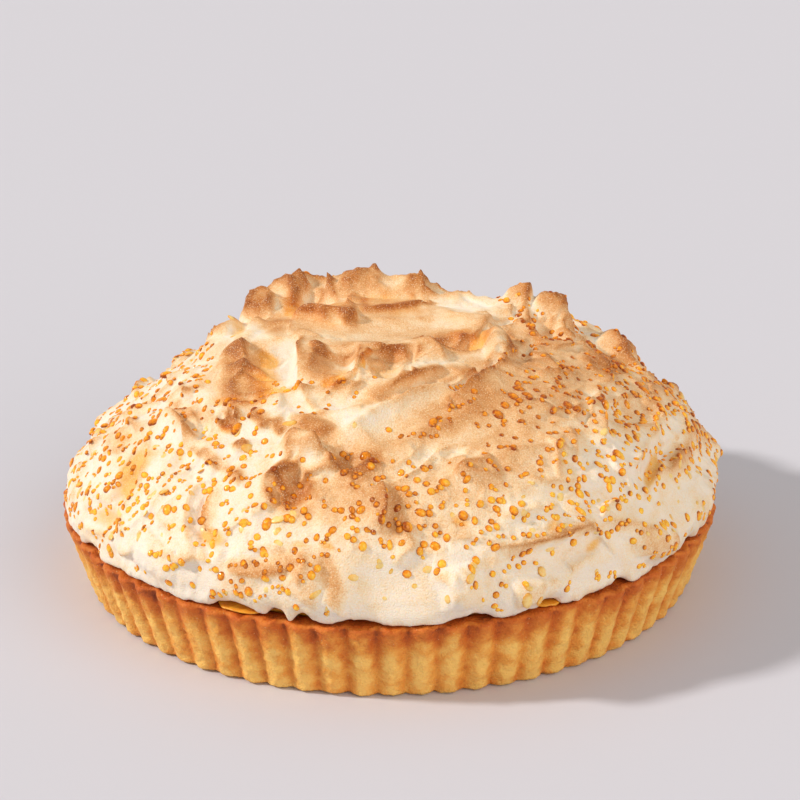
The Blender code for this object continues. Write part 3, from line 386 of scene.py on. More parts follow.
# Where syrup has soaked in, from golden stains to pale dry pools
SOAKED = [Patch(*row) for row in (
    (-51, -42, 18, 6.5, -84, 0.8), (-63, -55, 11, 3.2, -26, 0.7), (-43, -55, 6.9, 3.4, -22, 0.8),
    (-50, -21, 5.7, 3.4, -66, 0.9), (-19, -49, 10, 3.4, 84, 0.6), (-28, -41, 12, 5.2, -86, 0.35),
    (-2, -46, 10, 7.2, -88, 0.55), (-22, -58, 4.9, 3.5, -19, 0.9), (-11, -43, 15, 1.1, 71, 0.9),
    (-28, 20, 18, 12, -58, 0.6), (-41, 26, 16, 4.1, -84, 0.6), (1, 27, 18, 17, -14, 0.5),
    (-64, 12, 20, 2.6, -85, 0.6), (29, -9, 5.5, 4.2, 40, 0.7), (28, 12, 15, 7, -74, 0.35),
    (38, -14, 9, 4.9, 79, 0.8), (63, 1, 15, 2, 85, 0.6), (-108, -72, 11, 8.9, 45, 0.95),
    (-126, -84, 14, 3.6, -40, 0.6), (-115, -46, 9, 7, -82, 0.4), (-72, -123, 6.8, 3, -36, 0.85),
    (-75, -109, 10, 2.4, 74, 0.6), (-25, -137, 3.7, 1.5, -30, 0.8), (-96, -107, 8.8, 3.9, -32, 0.1),
    (112, -73, 16, 2.6, 75, 1), (64, -122, 4.7, 1.9, 48, 0.8), (27, -128, 3.5, 2.1, -18, 0.7),
    (86, -122, 4.3, 1.6, 60, 0.6), (-36, -135, 3.3, 1.5, -11, 0.7), (-64, -72, 4.4, 2.6, -38, 0.8),
)]

# Where the foam was pulled into crumpled folds
CRUMPLED = [Patch(*row) for row in (
    (-8, 54, 50, 10, -2, 0.8), (-58, 30, 12, 10, 0, 0.7), (58, 30, 26, 12, -20, 0.8),
    (-62, -20, 14, 16, 0, 0.4), (-52, -66, 26, 10, -10, 0.5), (-85, -60, 14, 30, -25, 0.3),
)]

# How thick the beads lie: everywhere a little, more in some parts, none on bare ones
BEADED = [Patch(*row) for row in (
    (4, -124, 37, 18, 1, 0.8), (107, -33, 63, 22, 73, 1.2), (69, -54, 37, 22, 62, 0.7),
    (72, -98, 34, 16, 27, 0.55), (-112, -39, 47, 18, -68, 0.9), (-126, -78, 29, 13, -50, 0.5),
    (-55, -103, 25, 16, -29, 0.6), (-56, -142, 20, 8.1, -14, 1.2), (60, -123, 32, 7.7, 24, 0.5),
    (113, -107, 20, 5.4, 31, 0.7), (-83, -19, 22, 9, -70, 0.6), (147, -13, 63, 16, 71, 0.6),
    (-16, -1, 42, 30, -20, -2), (-16, 26, 47, 36, -44, -2), (6, -69, 30, 12, 39, -1.8),
    (24, -95, 16, 8.8, 24, -0.7), (-36, -87, 15, 10, -52, -1.6), (4, -155, 23, 10, 0, -2.2),
    (-23, -150, 7.3, 6.6, -89, -0.8), (-61, -22, 29, 11, -81, -1.2), (21, -23, 18, 14, 77, -1.2),
    (84, -129, 34, 4.6, 36, -1.2), (133, -68, 27, 7, 62, -0.8), (-24, -35, 19, 15, -59, -0.8),
)]

# Strings of beads that sit in grooves
STRINGS = [Row(*row) for row in (
    (23, -64, 45, -37, 17, 1.5), (25, -62, 44, -41, 13, 1.2), (3, -90, 19, -89, 8, 1.1),
    (22, -75, 34, -69, 6, 1.2), (-94, -90, -79, -82, 8, 1.2), (-76, -86, -68, -90, 5, 1.3),
    (-64, -101, -50, -103, 7, 1.2), (-70, -96, -76, -108, 6, 1.5), (-68, -136, -52, -139, 7, 1.3),
    (-66, -141, -64, -150, 5, 1.3), (-60, -152, -46, -148, 6, 0.9), (-96, -126, -84, -127, 5, 1.7),
    (-24, -140, -38, -142, 5, 1.3), (40, -132, 62, -126, 7, 1.3), (40, -146, 62, -136, 6, 1.4),
    (120, -58, 112, -86, 7, 1.4), (98, -106, 90, -116, 6, 1.5), (66, -84, 72, -106, 7, 1.6),
    (52, 18, 62, 2, 6, 1.6), (60, -20, 46, -22, 5, 0.9), (116, 18, 128, -6, 8, 1.7),
    (138, -4, 146, -30, 8, 1.7), (-120, -88, -134, -92, 6, 1.2), (-100, -18, -112, -24, 6, 1.5),
)]

# Camera of the photograph's view: distance in metres, and angles in degrees
CAMERA_DISTANCE = 0.8772
CAMERA_HEIGHT_ANGLE = 25.41
CAMERA_TILT = 21.14
CAMERA_YAW = 0.34
CAMERA_ROLL = -0.44
LENS = 90.0
SENSOR = 36.0

# Window light from the left, and the warm light that the room throws back from the right
WINDOW = Sun("window", (1.0, 0.08, -0.72), 2.5, 6, (1.0, 0.95, 0.88))
WARM_BOUNCE = Sun("warm_bounce", (-0.6, 0.6, -0.5), 1.15, 50, (1.0, 0.9, 0.77))
ROOM_COLOUR = (1.0, 0.955, 0.91, 1)
ROOM_STRENGTH = 0.5
FLOOR_HALF = 3000


def linear(hex_colour):
    """Linear red, green, blue and alpha of an sRGB hex colour."""
    parts = [int(hex_colour[k:k + 2], 16) / 255 for k in (1, 3, 5)]
    return tuple(p / 12.92 if p <= 0.04045 else ((p + 0.055) / 1.055) ** 2.4 for p in parts) + (1.0,)


def heading(angle):
    """Step of length one at an angle, or one for each of many."""
    return np.stack([np.cos(angle), np.sin(angle)], axis=-1)


def eased(share):
    """A share from 0 to 1 that starts and ends gently."""
    return share * share * (3 - 2 * share)


def unit(rows):
    """Each row scaled to length one."""
    return rows / np.maximum(np.linalg.norm(rows, axis=1), 1e-9)[:, None]


def degrees_off(angles, middle):
    """How many degrees angles lie from a middle one, the short way round."""
    return (np.degrees(angles) - middle + 180) % 360 - 180


# Shape of the smooth dome and its map

def profile_of_dome(steps=300, tuck_steps=30):
    """Distance along the skin, radius and level of the dome, from the summit down."""
    angle = np.linspace(0, math.pi / 2, steps)
    turn = np.linspace(0, math.pi / 2, tuck_steps)[1:]
    radius = np.append(MERINGUE_RADIUS * np.sin(angle) ** (2 / SIDE_POWER),
                       MERINGUE_RADIUS - EDGE_TUCK * (1 - np.cos(turn)))
    level = np.append(WIDEST_LEVEL + (SUMMIT_LEVEL - WIDEST_LEVEL) * np.cos(angle) ** (2 / TOP_POWER),
                      WIDEST_LEVEL - (WIDEST_LEVEL - MERINGUE_UNDERSIDE) * np.sin(turn))
    return np.append(0.0, np.cumsum(np.hypot(np.diff(radius), np.diff(level)))), radius, level


ALONG, DOME_RADIUS, DOME_LEVEL = profile_of_dome()
SKIN_LENGTH = ALONG[-1]


def polar(place):
    """Distance from the summit and angle of places on the map."""
    return np.hypot(place[:, 0], place[:, 1]), np.arctan2(place[:, 1], place[:, 0])


def dome_point(place, step=0.5):
    """Points of the smooth dome, and their outward normals, for places on its map."""
    along, around = polar(place)
    out = heading(around)
    fall = np.interp(along - step, ALONG, DOME_LEVEL) - np.interp(along + step, ALONG, DOME_LEVEL)
    reach = np.interp(along + step, ALONG, DOME_RADIUS) - np.interp(along - step, ALONG, DOME_RADIUS)
    size = np.hypot(fall, reach)
    point = np.column_stack([out * np.interp(along, ALONG, DOME_RADIUS)[:, None],
                             np.interp(along, ALONG, DOME_LEVEL)])
    return point, np.column_stack([out * (fall / size)[:, None], reach / size])


def smooth_noise(place, size, seed, cells=64):
    """Even noise from -1 to 1 whose lumps are about size across."""
    random = np.random.default_rng(seed)
    table = random.uniform(-1, 1, (cells, cells))
    cell = place / size + random.uniform(0, cells, 2)
    corner = np.floor(cell).astype(int)
    along_x, along_y = eased(cell - corner).T
    x, y = corner.T % cells
    x2, y2 = (x + 1) % cells, (y + 1) % cells
    low = table[x, y] * (1 - along_x) + table[x2, y] * along_x
    high = table[x, y2] * (1 - along_x) + table[x2, y2] * along_x
    return low * (1 - along_y) + high * along_y


def layered_noise(place, layers):
    """Sum of noises, each with its own size, amount and seed."""
    return sum(amount * smooth_noise(place, size, seed) for size, amount, seed in layers)


def layered_ridges(place, layers):
    """Sum of noises that are folded into sharp ridges."""
    return sum(amount * (1 - 2 * np.abs(smooth_noise(place, size, seed))) for size, amount, seed in layers)


def sum_of_patches(place, patches):
    """Sum of the patches' amounts, each falling smoothly to nothing past its edge."""
    total = np.zeros(len(place))
    for patch in patches:
        turn = math.radians(patch.turn)
        x, y = (place - patch[:2]).T
        ahead = x * math.cos(turn) + y * math.sin(turn)
        aside = y * math.cos(turn) - x * math.sin(turn)
        far = (ahead / patch.long) ** 2 + (aside / patch.wide) ** 2
        total += patch.amount * np.exp(-far ** 2 * PATCH_FALL)
    return total


# Strokes of the spatula

def stroke_points(stroke, steps=14):
    """Points along a stroke: a shallow arc from its start to its end."""
    start, end = np.array(stroke[:2], float), np.array(stroke[2:4], float)
    chord = end - start
    side = np.array([-chord[1], chord[0]]) / max(np.hypot(*chord), 1e-6)
    t = np.linspace(0, 1, steps)[:, None]
    return start + chord * t + side * stroke.bow * 4 * t * (1 - t)


def measure_from_stroke(place, path):
    """Signed distance from a path (left is positive), share of it passed, and way left."""
    best = np.full(len(place), np.inf)
    signed, share, away = np.zeros(len(place)), np.zeros(len(place)), np.zeros((len(place), 2))
    count = len(path) - 1
    for k in range(count):
        start, run = path[k], path[k + 1] - path[k]
        length = max(np.dot(run, run), 1e-9)
        t = np.clip((place - start) @ run / length, 0, 1)
        gap = place - start - t[:, None] * run
        distance = np.hypot(gap[:, 0], gap[:, 1])
        nearer = distance < best
        sign = np.where(run[0] * gap[:, 1] - run[1] * gap[:, 0] >= 0, 1.0, -1.0)
        best[nearer] = distance[nearer]
        signed[nearer] = (sign * distance)[nearer]
        share[nearer] = ((k + t) / count)[nearer]
        away[nearer] = np.array([-run[1], run[0]]) / math.sqrt(length)
    return signed, share, away


def soft_min(a, b, softness):
    """The lower of two, with a rounded step from one to the other."""
    blend = np.clip(0.5 + 0.5 * (b - a) / softness, 0, 1)
    return b * (1 - blend) + a * blend - softness * blend * (1 - blend)


def work_point(stroke, place, height, lean):
    """Raise a broad swell or a pulled peak."""
    gap = place - stroke[:2]
    if type(stroke) is Swell:
        height += stroke.height * np.exp(-(gap ** 2).sum(axis=1) / stroke.radius ** 2)
        return
    share = np.exp(-np.hypot(gap[:, 0], gap[:, 1]) / stroke.width)
    height += stroke.height * share
    lean += np.outer(share ** LEAN_POWER, (stroke.lean_x, stroke.lean_y))


def work_stroke(stroke, place, height, lean, own, seed):
    """Work one stroke of the spatula into the heights; own marks its path's samples."""
    path = place[own]
    reach = STROKE_REACH[type(stroke)] * max(stroke.left, stroke.right)
    inside = np.all((place > path.min(axis=0) - reach) & (place < path.max(axis=0) + reach), axis=1)
    near = np.flatnonzero(inside)
    signed, share, away = measure_from_stroke(place[near], path)
    from_line = np.hypot(signed, CREST_TIP) - CREST_TIP if type(stroke) is Crest else np.abs(signed)
    across = from_line / np.where(signed > 0, stroke.left, stroke.right)
    fade = 1 - np.abs(2 * share - 1) ** 4
    length = np.hypot(*(path[-1] - path[0]))
    marks = smooth_noise(np.stack([signed, share * length], axis=1) / MARK_SIZE, 1.0, seed)
    if type(stroke) is Scoop:
        level = np.interp(share, np.linspace(0, 1, len(path)), height[own])
        bowl = np.minimum(across, 1) ** 2 + SCOOP_WALL * np.maximum(across ** 2 - 1, 0)
        floor = level - stroke.depth * (SCOOP_ENDS + (1 - SCOOP_ENDS) * fade) * (1 - bowl)
        floor += MARK_DEPTH * marks * fade * (across < STROKE_REACH[Mound])
        height[near] = soft_min(height[near], floor, SCOOP_BLEND)
        height[near] += stroke.lip * fade * np.exp(-((across - 1) / LIP_SPREAD) ** 2)
        return
    if type(stroke) is Crest:
        share_up = fade * np.exp(-CREST_FALL * across)
    else:
        share_up = np.clip(1 - across ** 2, 0, 1) ** MOUND_ROUNDNESS
        share_up = (MOUND_ENDS + (1 - MOUND_ENDS) * fade) * share_up
    torn = smooth_noise(np.stack([share * length, signed], axis=1), TEAR_SIZE, seed + 1) * share_up
    height[near] += stroke.height * share_up * (1 + 0.1 * torn) + 0.1 * marks * share_up
    narrow = 1.0 if stroke.left < stroke.right else -1.0
    lean[near] += away * (narrow * stroke.overhang * share_up ** LEAN_POWER * (1 + 0.3 * torn))[:, None]


def ends_of_stroke(random, middle, around, swing, reaches):
    """Start and end of a stroke that runs across the slope, give or take a swing."""
    turn = around + math.radians(90 + random.uniform(-swing, swing))
    reach = random.uniform(*reaches) * heading(turn)
    return *(middle - reach), *(middle + reach)


def back_strokes():
    """Seeded strokes for the far side, drawn as the front's are."""
    random = np.random.default_rng(BACK_SEED)
    strokes = []
    for k in range(BACK_STROKES):
        around = math.radians(random.uniform(*BACK_ANGLES))
        along = SKIN_LENGTH * (BACK_NEAREST + BACK_DEPTH * ((k * GOLDEN_STEP) % 1.0))
        ends = ends_of_stroke(random, along * heading(around), around, 50, (12, 32))
        bow, size = random.uniform(-8, 8), random.uniform(0.7, 1.3)
        left, right = random.uniform(5, 14), random.uniform(5, 14)
        if k % 3 == 0:
            strokes.append(Crest(*ends, bow, 4.2 * size, left * 0.7, right * 0.7, 1.2))
        elif k % 7 == 1:
            strokes.append(Mound(*ends, bow, 3.5 * size, left, right, 0.8))
        else:
            strokes.append(Scoop(*ends, bow, 4.4 * size, left, right, 0.9))
    return strokes


def small_strokes():
    """Seeded nicks and small folds, all over but where the foam was smoothed."""
    random = np.random.default_rng(SMALL_STROKE_SEED)
    strokes = []
    while len(strokes) < SMALL_STROKES:
        around = random.uniform(0, 2 * math.pi)
        along = SKIN_LENGTH * 0.94 * math.sqrt(random.uniform(0.02, 1))
        middle = along * heading(around)
        ends = ends_of_stroke(random, middle, around, 65, (4, 15))
        keep = random.uniform(0, 1) > sum_of_patches(middle[None], SMOOTHED)[0] * 1.3
        bow, size = random.uniform(-3, 3), random.uniform(0.5, 1.2)
        sides = (1.5, 4.5) if random.uniform() < 0.5 else (4.5, 1.5)
        raised = random.uniform() < 0.6
        if keep and raised:
            strokes.append(Crest(*ends, bow, 2.0 * size, *sides, 1.0 * size))
        elif keep:
            strokes.append(Scoop(*ends, bow, 1.6 * size, *sides, 0.5))
    return strokes


STROKES = (*BROAD_FORM, *back_strokes(), *SUMMIT, *FRONT, *FINE_FOLDS, *small_strokes())


def meringue_relief(place):
    """Height off the smooth dome, and sideways lean, at places on its map."""
    paths = [stroke_points(s) if hasattr(s, "bow") else np.zeros((0, 2)) for s in STROKES]
    count = len(place)
    wander = np.stack([layered_noise(place, WANDER_ACROSS), layered_noise(place, WANDER_ALONG)], axis=1)
    wandered = np.vstack([place + wander] + paths)
    height = layered_noise(np.vstack([place] + paths), UNEVENNESS)
    lean = np.zeros_like(wandered)
    first = count
    for seed, (stroke, path) in enumerate(zip(STROKES, paths), STROKE_SEED):
        if len(path) == 0:
            work_point(stroke, wandered, height, lean)
            continue
        work_stroke(stroke, wandered, height, lean, slice(first, first + len(path)), seed)
        first += len(path)
    return height[:count], lean[:count]


def foam_texture(place):
    """Fine unevenness of the foam, in millimetres, least where it was smoothed."""
    rough = np.clip(1 - sum_of_patches(place, SMOOTHED), 0.08, 1)
    torn = np.clip(sum_of_patches(place, CRUMPLED), 0, 1)
    bent = place + np.stack([layered_noise(place, [layer]) for layer in FOAM_SWIRL], axis=1)
    grain = layered_ridges(bent, FOAM_RIDGES) + layered_noise(bent, FOAM_GRAIN)
    return grain * rough + layered_ridges(bent, CRUMPLES) * torn


def skin_point(place):
    """Finished skin of the meringue for places on the dome's map."""
    height, lean = meringue_relief(place)
    along, around = polar(place)
    keep = eased(np.clip((SKIN_LENGTH - along) / EDGE_FADE, 0, 1))
    point, normal = dome_point(place + lean * keep[:, None])
    point = point + normal * (height * keep + foam_texture(place))[:, None]
    out = heading(around)
    lobes = layered_noise(out * LOBE_RING, EDGE_LOBES) * (1 - keep)
    edge = np.clip((along - SKIN_LENGTH + EDGE_BAND) / EDGE_BAND, 0, 1) ** 1.6
    ragged = layered_noise(out * RIM_RADIUS, RAGGED_EDGE)
    point[:, :2] += out * (lobes + 0.7 * ragged * edge)[:, None]
    point[:, 2] -= edge * (0.5 + 0.9 * ragged)
    for middle, half_width, lift, draw in EDGE_GAPS:
        share = edge * np.exp(-(degrees_off(around, middle) / half_width) ** 4)
        point[:, :2] -= out * (draw * share)[:, None]
        point[:, 2] += lift * share
    point[:, 2] = np.maximum(point[:, 2], CRUST_HEIGHT + EDGE_CLEARANCE)
    return point


def skin_frame(place, step=0.7):
    """Points of the skin and the outward normals there."""
    point = skin_point(place)
    right = skin_point(place + (step, 0)) - point
    back = skin_point(place + (0, step)) - point
    return point, unit(np.cross(right, back))


# Meshes

def new_object(name, points, faces, material):
    """One smooth-shaded object from points in millimetres and lists of their numbers."""
    mesh = bpy.data.meshes.new(name)
    mesh.from_pydata((np.asarray(points, float) * MM).tolist(), [], faces)
    mesh.update()
    mesh.shade_smooth()
    mesh.materials.append(material)
    thing = bpy.data.objects.new(name, mesh)
    bpy.context.scene.collection.objects.link(thing)
    return thing


def store(thing, name, values):
    """Keep one number for each point of a mesh, for its material to read."""
    layer = thing.data.attributes.new(name, "FLOAT", "POINT")
    layer.data.foreach_set("value", np.asarray(values, np.float32))


def disc_of_rings(rings, reach):
    """Places on a disc in rings of 6, 12, 18 ... crowded to the front, and triangles."""
    places, triangles = [np.zeros((1, 2))], []
    for ring in range(1, rings + 1):
        count, inner_count = 6 * ring, max(6 * (ring - 1), 1)
        angle = 2 * math.pi * np.arange(count) / count
        places.append(reach * ring / rings * heading(angle - FRONT_CROWDING * np.cos(angle)))
        outer = 1 + 3 * ring * (ring - 1)
        inner = outer - inner_count
        for k in range(count):
            side, step = divmod(k, ring)
            b = outer + (k + 1) % count
            c = inner + (k - side) % inner_count
            triangles.append((c, outer + k, b))
            if step < ring - 1:
                triangles.append((c, b, inner + (k - side + 1) % inner_count))
    return np.vstack(places), triangles


def smoothed_over(values, triangles, rounds):
    """Values evened out over a mesh by averaging each point with its neighbours."""
    tri = np.array(triangles)
    a, b = np.vstack([tri[:, [0, 1]], tri[:, [1, 2]], tri[:, [2, 0]]]).T
    count = np.bincount(a, minlength=len(values)) + np.bincount(b, minlength=len(values))
    for _ in range(rounds):
        total = np.bincount(a, values[b], len(values)) + np.bincount(b, values[a], len(values))
        values = 0.4 * values + 0.6 * total / np.maximum(count, 1)
    return values


def ring_at(radii, levels, angles):
    """Points of a ring, whose radius and level may change along it."""
    return np.column_stack([radii * np.cos(angles), radii * np.sin(angles), levels + 0 * angles])


def joined_rings(rings):
    """Points and faces of equal rings joined in turn, with a fan over both ends."""
    count, last = len(rings[0]), (len(rings) - 1) * len(rings[0])
    points = np.vstack(rings + [[[0, 0, rings[0][0][2]]], [[0, 0, rings[-1][0][2]]]])
    sides = [(k, (k + 1) % count) for k in range(count)]
    faces = [(low + a, low + b, low + count + b, low + count + a)
             for low in range(0, last, count) for a, b in sides]
    faces += [(len(points) - 2, b, a) for a, b in sides]
    faces += [(len(points) - 1, last + a, last + b) for a, b in sides]
    return points, faces


# Materials

def new_material(name):
    """A material that shades by nodes, and its shader."""
    material = bpy.data.materials.new(name)
    material.use_nodes = True
    return material, material.node_tree.nodes["Principled BSDF"]


def feed(material, node, inputs):
    """Link or set inputs of a node, by name or number."""
    for name, value in inputs.items():
        if isinstance(value, bpy.types.NodeSocket):
            material.node_tree.links.new(value, node.inputs[name])
        else:
            node.inputs[name].default_value = value


def add(material, kind, inputs=None, gives=0, stops=(), **settings):
    """Add a node with its settings, its inputs and a ramp's stops; returns one output."""
    node = material.node_tree.nodes.new(kind)
    for name, value in settings.items():
        setattr(node, name, value)
    feed(material, node, inputs or {})
    for k, (place, colour) in enumerate(stops):
        if 0 < k < len(stops) - 1:
            node.color_ramp.elements.new(place)
        shown = linear(colour) if isinstance(colour, str) else (colour, colour, colour, 1)
        node.color_ramp.elements[k].position, node.color_ramp.elements[k].color = place, shown
    return node.outputs[gives]


def toasted_meringue():
    """Whipped egg white, spread with a spatula and toasted under a grill.

    It gives the eye a dry matte foam, cream white in the hollows and caramel tan on the
    raised folds, with sandy grain, and a golden tint where syrup has soaked in. Some of its
    tan is painted shade, darkening shaded sides of hollows and folds. Its real
    bubbles are about 0.2 mm: grain and flecks are drawn coarser, so that they show.
    """
    material, shader = new_material("toasted_meringue")
    cloud_size, grain_size, fleck_size, crease_size = 7.0, 0.6, 0.75, 9.0
    place = add(material, "ShaderNodeTexCoord", gives="Object")
    toast_and_shade, soak, rough = (add(material, "ShaderNodeAttribute", gives="Fac", attribute_name=name)
                          for name in ("toast_and_shade", "soak", "rough"))
    cloud = add(material, "ShaderNodeTexNoise", {
        "Vector": place, "Scale": 1 / (cloud_size * MM), "Detail": 7.0, "Roughness": 0.65})
    grain = add(material, "ShaderNodeTexNoise", {
        "Vector": place, "Scale": 1 / (grain_size * MM), "Detail": 2.0})
    fleck = add(material, "ShaderNodeTexVoronoi", {"Vector": place, "Scale": 1 / (fleck_size * MM)})
    uneven, sandy = (add(material, "ShaderNodeMath", {0: noise, 1: 0.56, 2: -0.28}, operation="MULTIPLY_ADD")
                     for noise in (cloud, grain))
    both = add(material, "ShaderNodeMath", {0: uneven, 1: sandy}, operation="ADD")
    total = add(material, "ShaderNodeMath", {0: toast_and_shade, 1: both}, operation="ADD")
    foam = add(material, "ShaderNodeValToRGB", {"Fac": total}, stops=(
        (0.0, "#f4e8d8"), (0.2, "#f4dcb9"), (0.4, "#ebbf8c"), (0.6, "#d99f65"), (0.8, "#c37d3c"),
        (1.0, "#9c5622")))

    soaked = add(material, "ShaderNodeMath", {0: soak, 1: uneven}, operation="ADD")
    syrup_share = add(material, "ShaderNodeValToRGB", {"Fac": soaked}, stops=((0.12, 0.0), (0.8, 0.95)))
    tinted = add(material, "ShaderNodeMix", {"Factor": syrup_share, 6: foam, 7: linear("#fccf78")}, 2,
                 data_type="RGBA", blend_type="MULTIPLY")
    fleck_share = add(material, "ShaderNodeValToRGB", {"Fac": fleck}, stops=((0.12, 0.6), (0.34, 0.0)))
    flecked = add(material, "ShaderNodeMix", {"Factor": fleck_share, 6: tinted, 7: linear("#fbeccb")}, 2,
                  data_type="RGBA")

    crease = add(material, "ShaderNodeTexNoise", {
        "Vector": place, "Scale": 1 / (crease_size * MM), "Detail": 3.0, "Distortion": 0.8},
        noise_type="RIDGED_MULTIFRACTAL")
    creases = add(material, "ShaderNodeBump", {"Height": crease, "Strength": rough, "Distance": 0.0014})
    bump = add(material, "ShaderNodeBump", {
        "Height": grain, "Normal": creases, "Strength": 0.8, "Distance": 0.0004})
    pores = add(material, "ShaderNodeBump", {
        "Height": fleck, "Normal": bump, "Strength": 0.35, "Distance": 0.0003})
    feed(material, shader, {
        "Base Color": flecked, "Normal": pores, "Roughness": 0.62, "IOR": 1.4, "Subsurface Weight": 0.15,
        "Subsurface Radius": (1.0, 0.6, 0.35), "Subsurface Scale": 0.001})
    return material


def caramelised_syrup(name, bright, middle, deep, roughness, glow):
    """Sugar syrup that wept from the foam and set as amber drops.

    It gives the eye clear wet-looking beads with a small sharp highlight, deeper orange where
    the caramel is darker. Light is painted into their colour: painted lens shade makes each bead
    darker on the side towards the window and golden on the far side, painted ring shade darkens
    its base into a dark rim, and painted glints of noise mottle it.
    """
    material, shader = new_material(name)
    glint_size = 0.9
    burnt_and_lens_shade = add(material, "ShaderNodeAttribute", gives="Fac", attribute_name="burnt_and_lens_shade")
    place = add(material, "ShaderNodeTexCoord", gives="Object")
    # Painted glints: fine noise that lightens and darkens the drops' colour
    glint = add(material, "ShaderNodeTexNoise", {
        "Vector": place, "Scale": 1 / (glint_size * MM), "Detail": 2.0})
    glints = add(material, "ShaderNodeMath", {0: glint, 1: 1.1, 2: -0.55}, operation="MULTIPLY_ADD")
    # Colour value: caramel depth with painted lens shade, painted ring shade and painted glints
    lens = add(material, "ShaderNodeMath", {0: burnt_and_lens_shade, 1: glints}, operation="ADD")
    colour = add(material, "ShaderNodeValToRGB", {"Fac": lens}, stops=(
        (0.0, bright), (0.45, middle), (1.0, deep)))
    feed(material, shader, {
        "Base Color": colour, "Roughness": roughness, "IOR": 1.49, "Subsurface Weight": glow,
        "Subsurface Radius": (1.0, 0.45, 0.1), "Subsurface Scale": 0.002})
    return material


def baked_shortcrust():
    """Butter pastry pressed into a fluted tin and baked.

    It gives the eye a dry, faintly oily biscuit, pale gold on the flutes, russet along
    the rim, with darker blotches, and painted shade that darkens the grooves between the
    flutes. Its real crumb is about 0.3 mm: it is drawn coarser, so that it shows.
    """
    material, shader = new_material("baked_shortcrust")
    blotch_size, crumb_size, fat_size = 5.0, 0.8, 2.2
    place = add(material, "ShaderNodeTexCoord", gives="Object")
    browned_and_groove_shade = add(material, "ShaderNodeAttribute", gives="Fac", attribute_name="browned_and_groove_shade")
    blotch = add(material, "ShaderNodeTexNoise", {
        "Vector": place, "Scale": 1 / (blotch_size * MM), "Detail": 5.0})
    crumb = add(material, "ShaderNodeTexNoise", {
        "Vector": place, "Scale": 1 / (crumb_size * MM), "Detail": 3.0})
    fat = add(material, "ShaderNodeTexVoronoi", {"Vector": place, "Scale": 1 / (fat_size * MM)})
    uneven = add(material, "ShaderNodeMath", {0: blotch, 1: 0.9, 2: -0.45}, operation="MULTIPLY_ADD")
    sandy = add(material, "ShaderNodeMath", {0: crumb, 1: 0.3, 2: -0.15}, operation="MULTIPLY_ADD")
    both = add(material, "ShaderNodeMath", {0: uneven, 1: sandy}, operation="ADD")
    total = add(material, "ShaderNodeMath", {0: browned_and_groove_shade, 1: both}, operation="ADD")
    pastry = add(material, "ShaderNodeValToRGB", {"Fac": total}, stops=(
        (0.0, "#fcc86b"), (0.25, "#eea447"), (0.5, "#da7d2b"), (0.75, "#c8621a"), (1.0, "#8a3b0e")))
    specks = add(material, "ShaderNodeValToRGB", {"Fac": fat}, stops=((0.06, 0.4), (0.14, 0.0)))
    mixed = add(material, "ShaderNodeMix", {"Factor": specks, 6: pastry, 7: linear("#f3d6a0")}, 2,
                data_type="RGBA")
    bump = add(material, "ShaderNodeBump", {"Height": crumb, "Strength": 0.8, "Distance": 0.0008})
    dents = add(material, "ShaderNodeBump", {
        "Height": blotch, "Normal": bump, "Strength": 0.7, "Distance": 0.0016})
    feed(material, shader, {
        "Base Color": mixed, "Normal": dents, "Roughness": 0.6, "IOR": 1.4, "Subsurface Weight": 0.08,
        "Subsurface Radius": (1.0, 0.5, 0.25), "Subsurface Scale": 0.0015})
    return material


def lemon_curd():
    """Cooked lemon curd, poured and set. It gives the eye a smooth moist yellow gel."""
    material, shader = new_material("lemon_curd")
    lump_size = 4.0
    place = add(material, "ShaderNodeTexCoord", gives="Object")
    lumps = add(material, "ShaderNodeTexNoise", {
        "Vector": place, "Scale": 1 / (lump_size * MM), "Detail": 3.0})
    colour = add(material, "ShaderNodeValToRGB", {"Fac": lumps}, stops=((0.3, "#f7b23c"), (0.7, "#de8c20")))
    bump = add(material, "ShaderNodeBump", {"Height": lumps, "Strength": 0.4, "Distance": 0.001})
    feed(material, shader, {
        "Base Color": colour, "Normal": bump, "Roughness": 0.3, "IOR": 1.42, "Subsurface Weight": 0.3,
        "Subsurface Radius": (1.0, 0.6, 0.15), "Subsurface Scale": 0.003})
    return material


def pale_floor():
    """Pale matt painted board. It gives the eye an even, faintly cool grey."""
    material, shader = new_material("pale_floor")
    feed(material, shader, {"Base Color": linear("#cdced9"), "Roughness": 0.85})
    return material


# Pieces

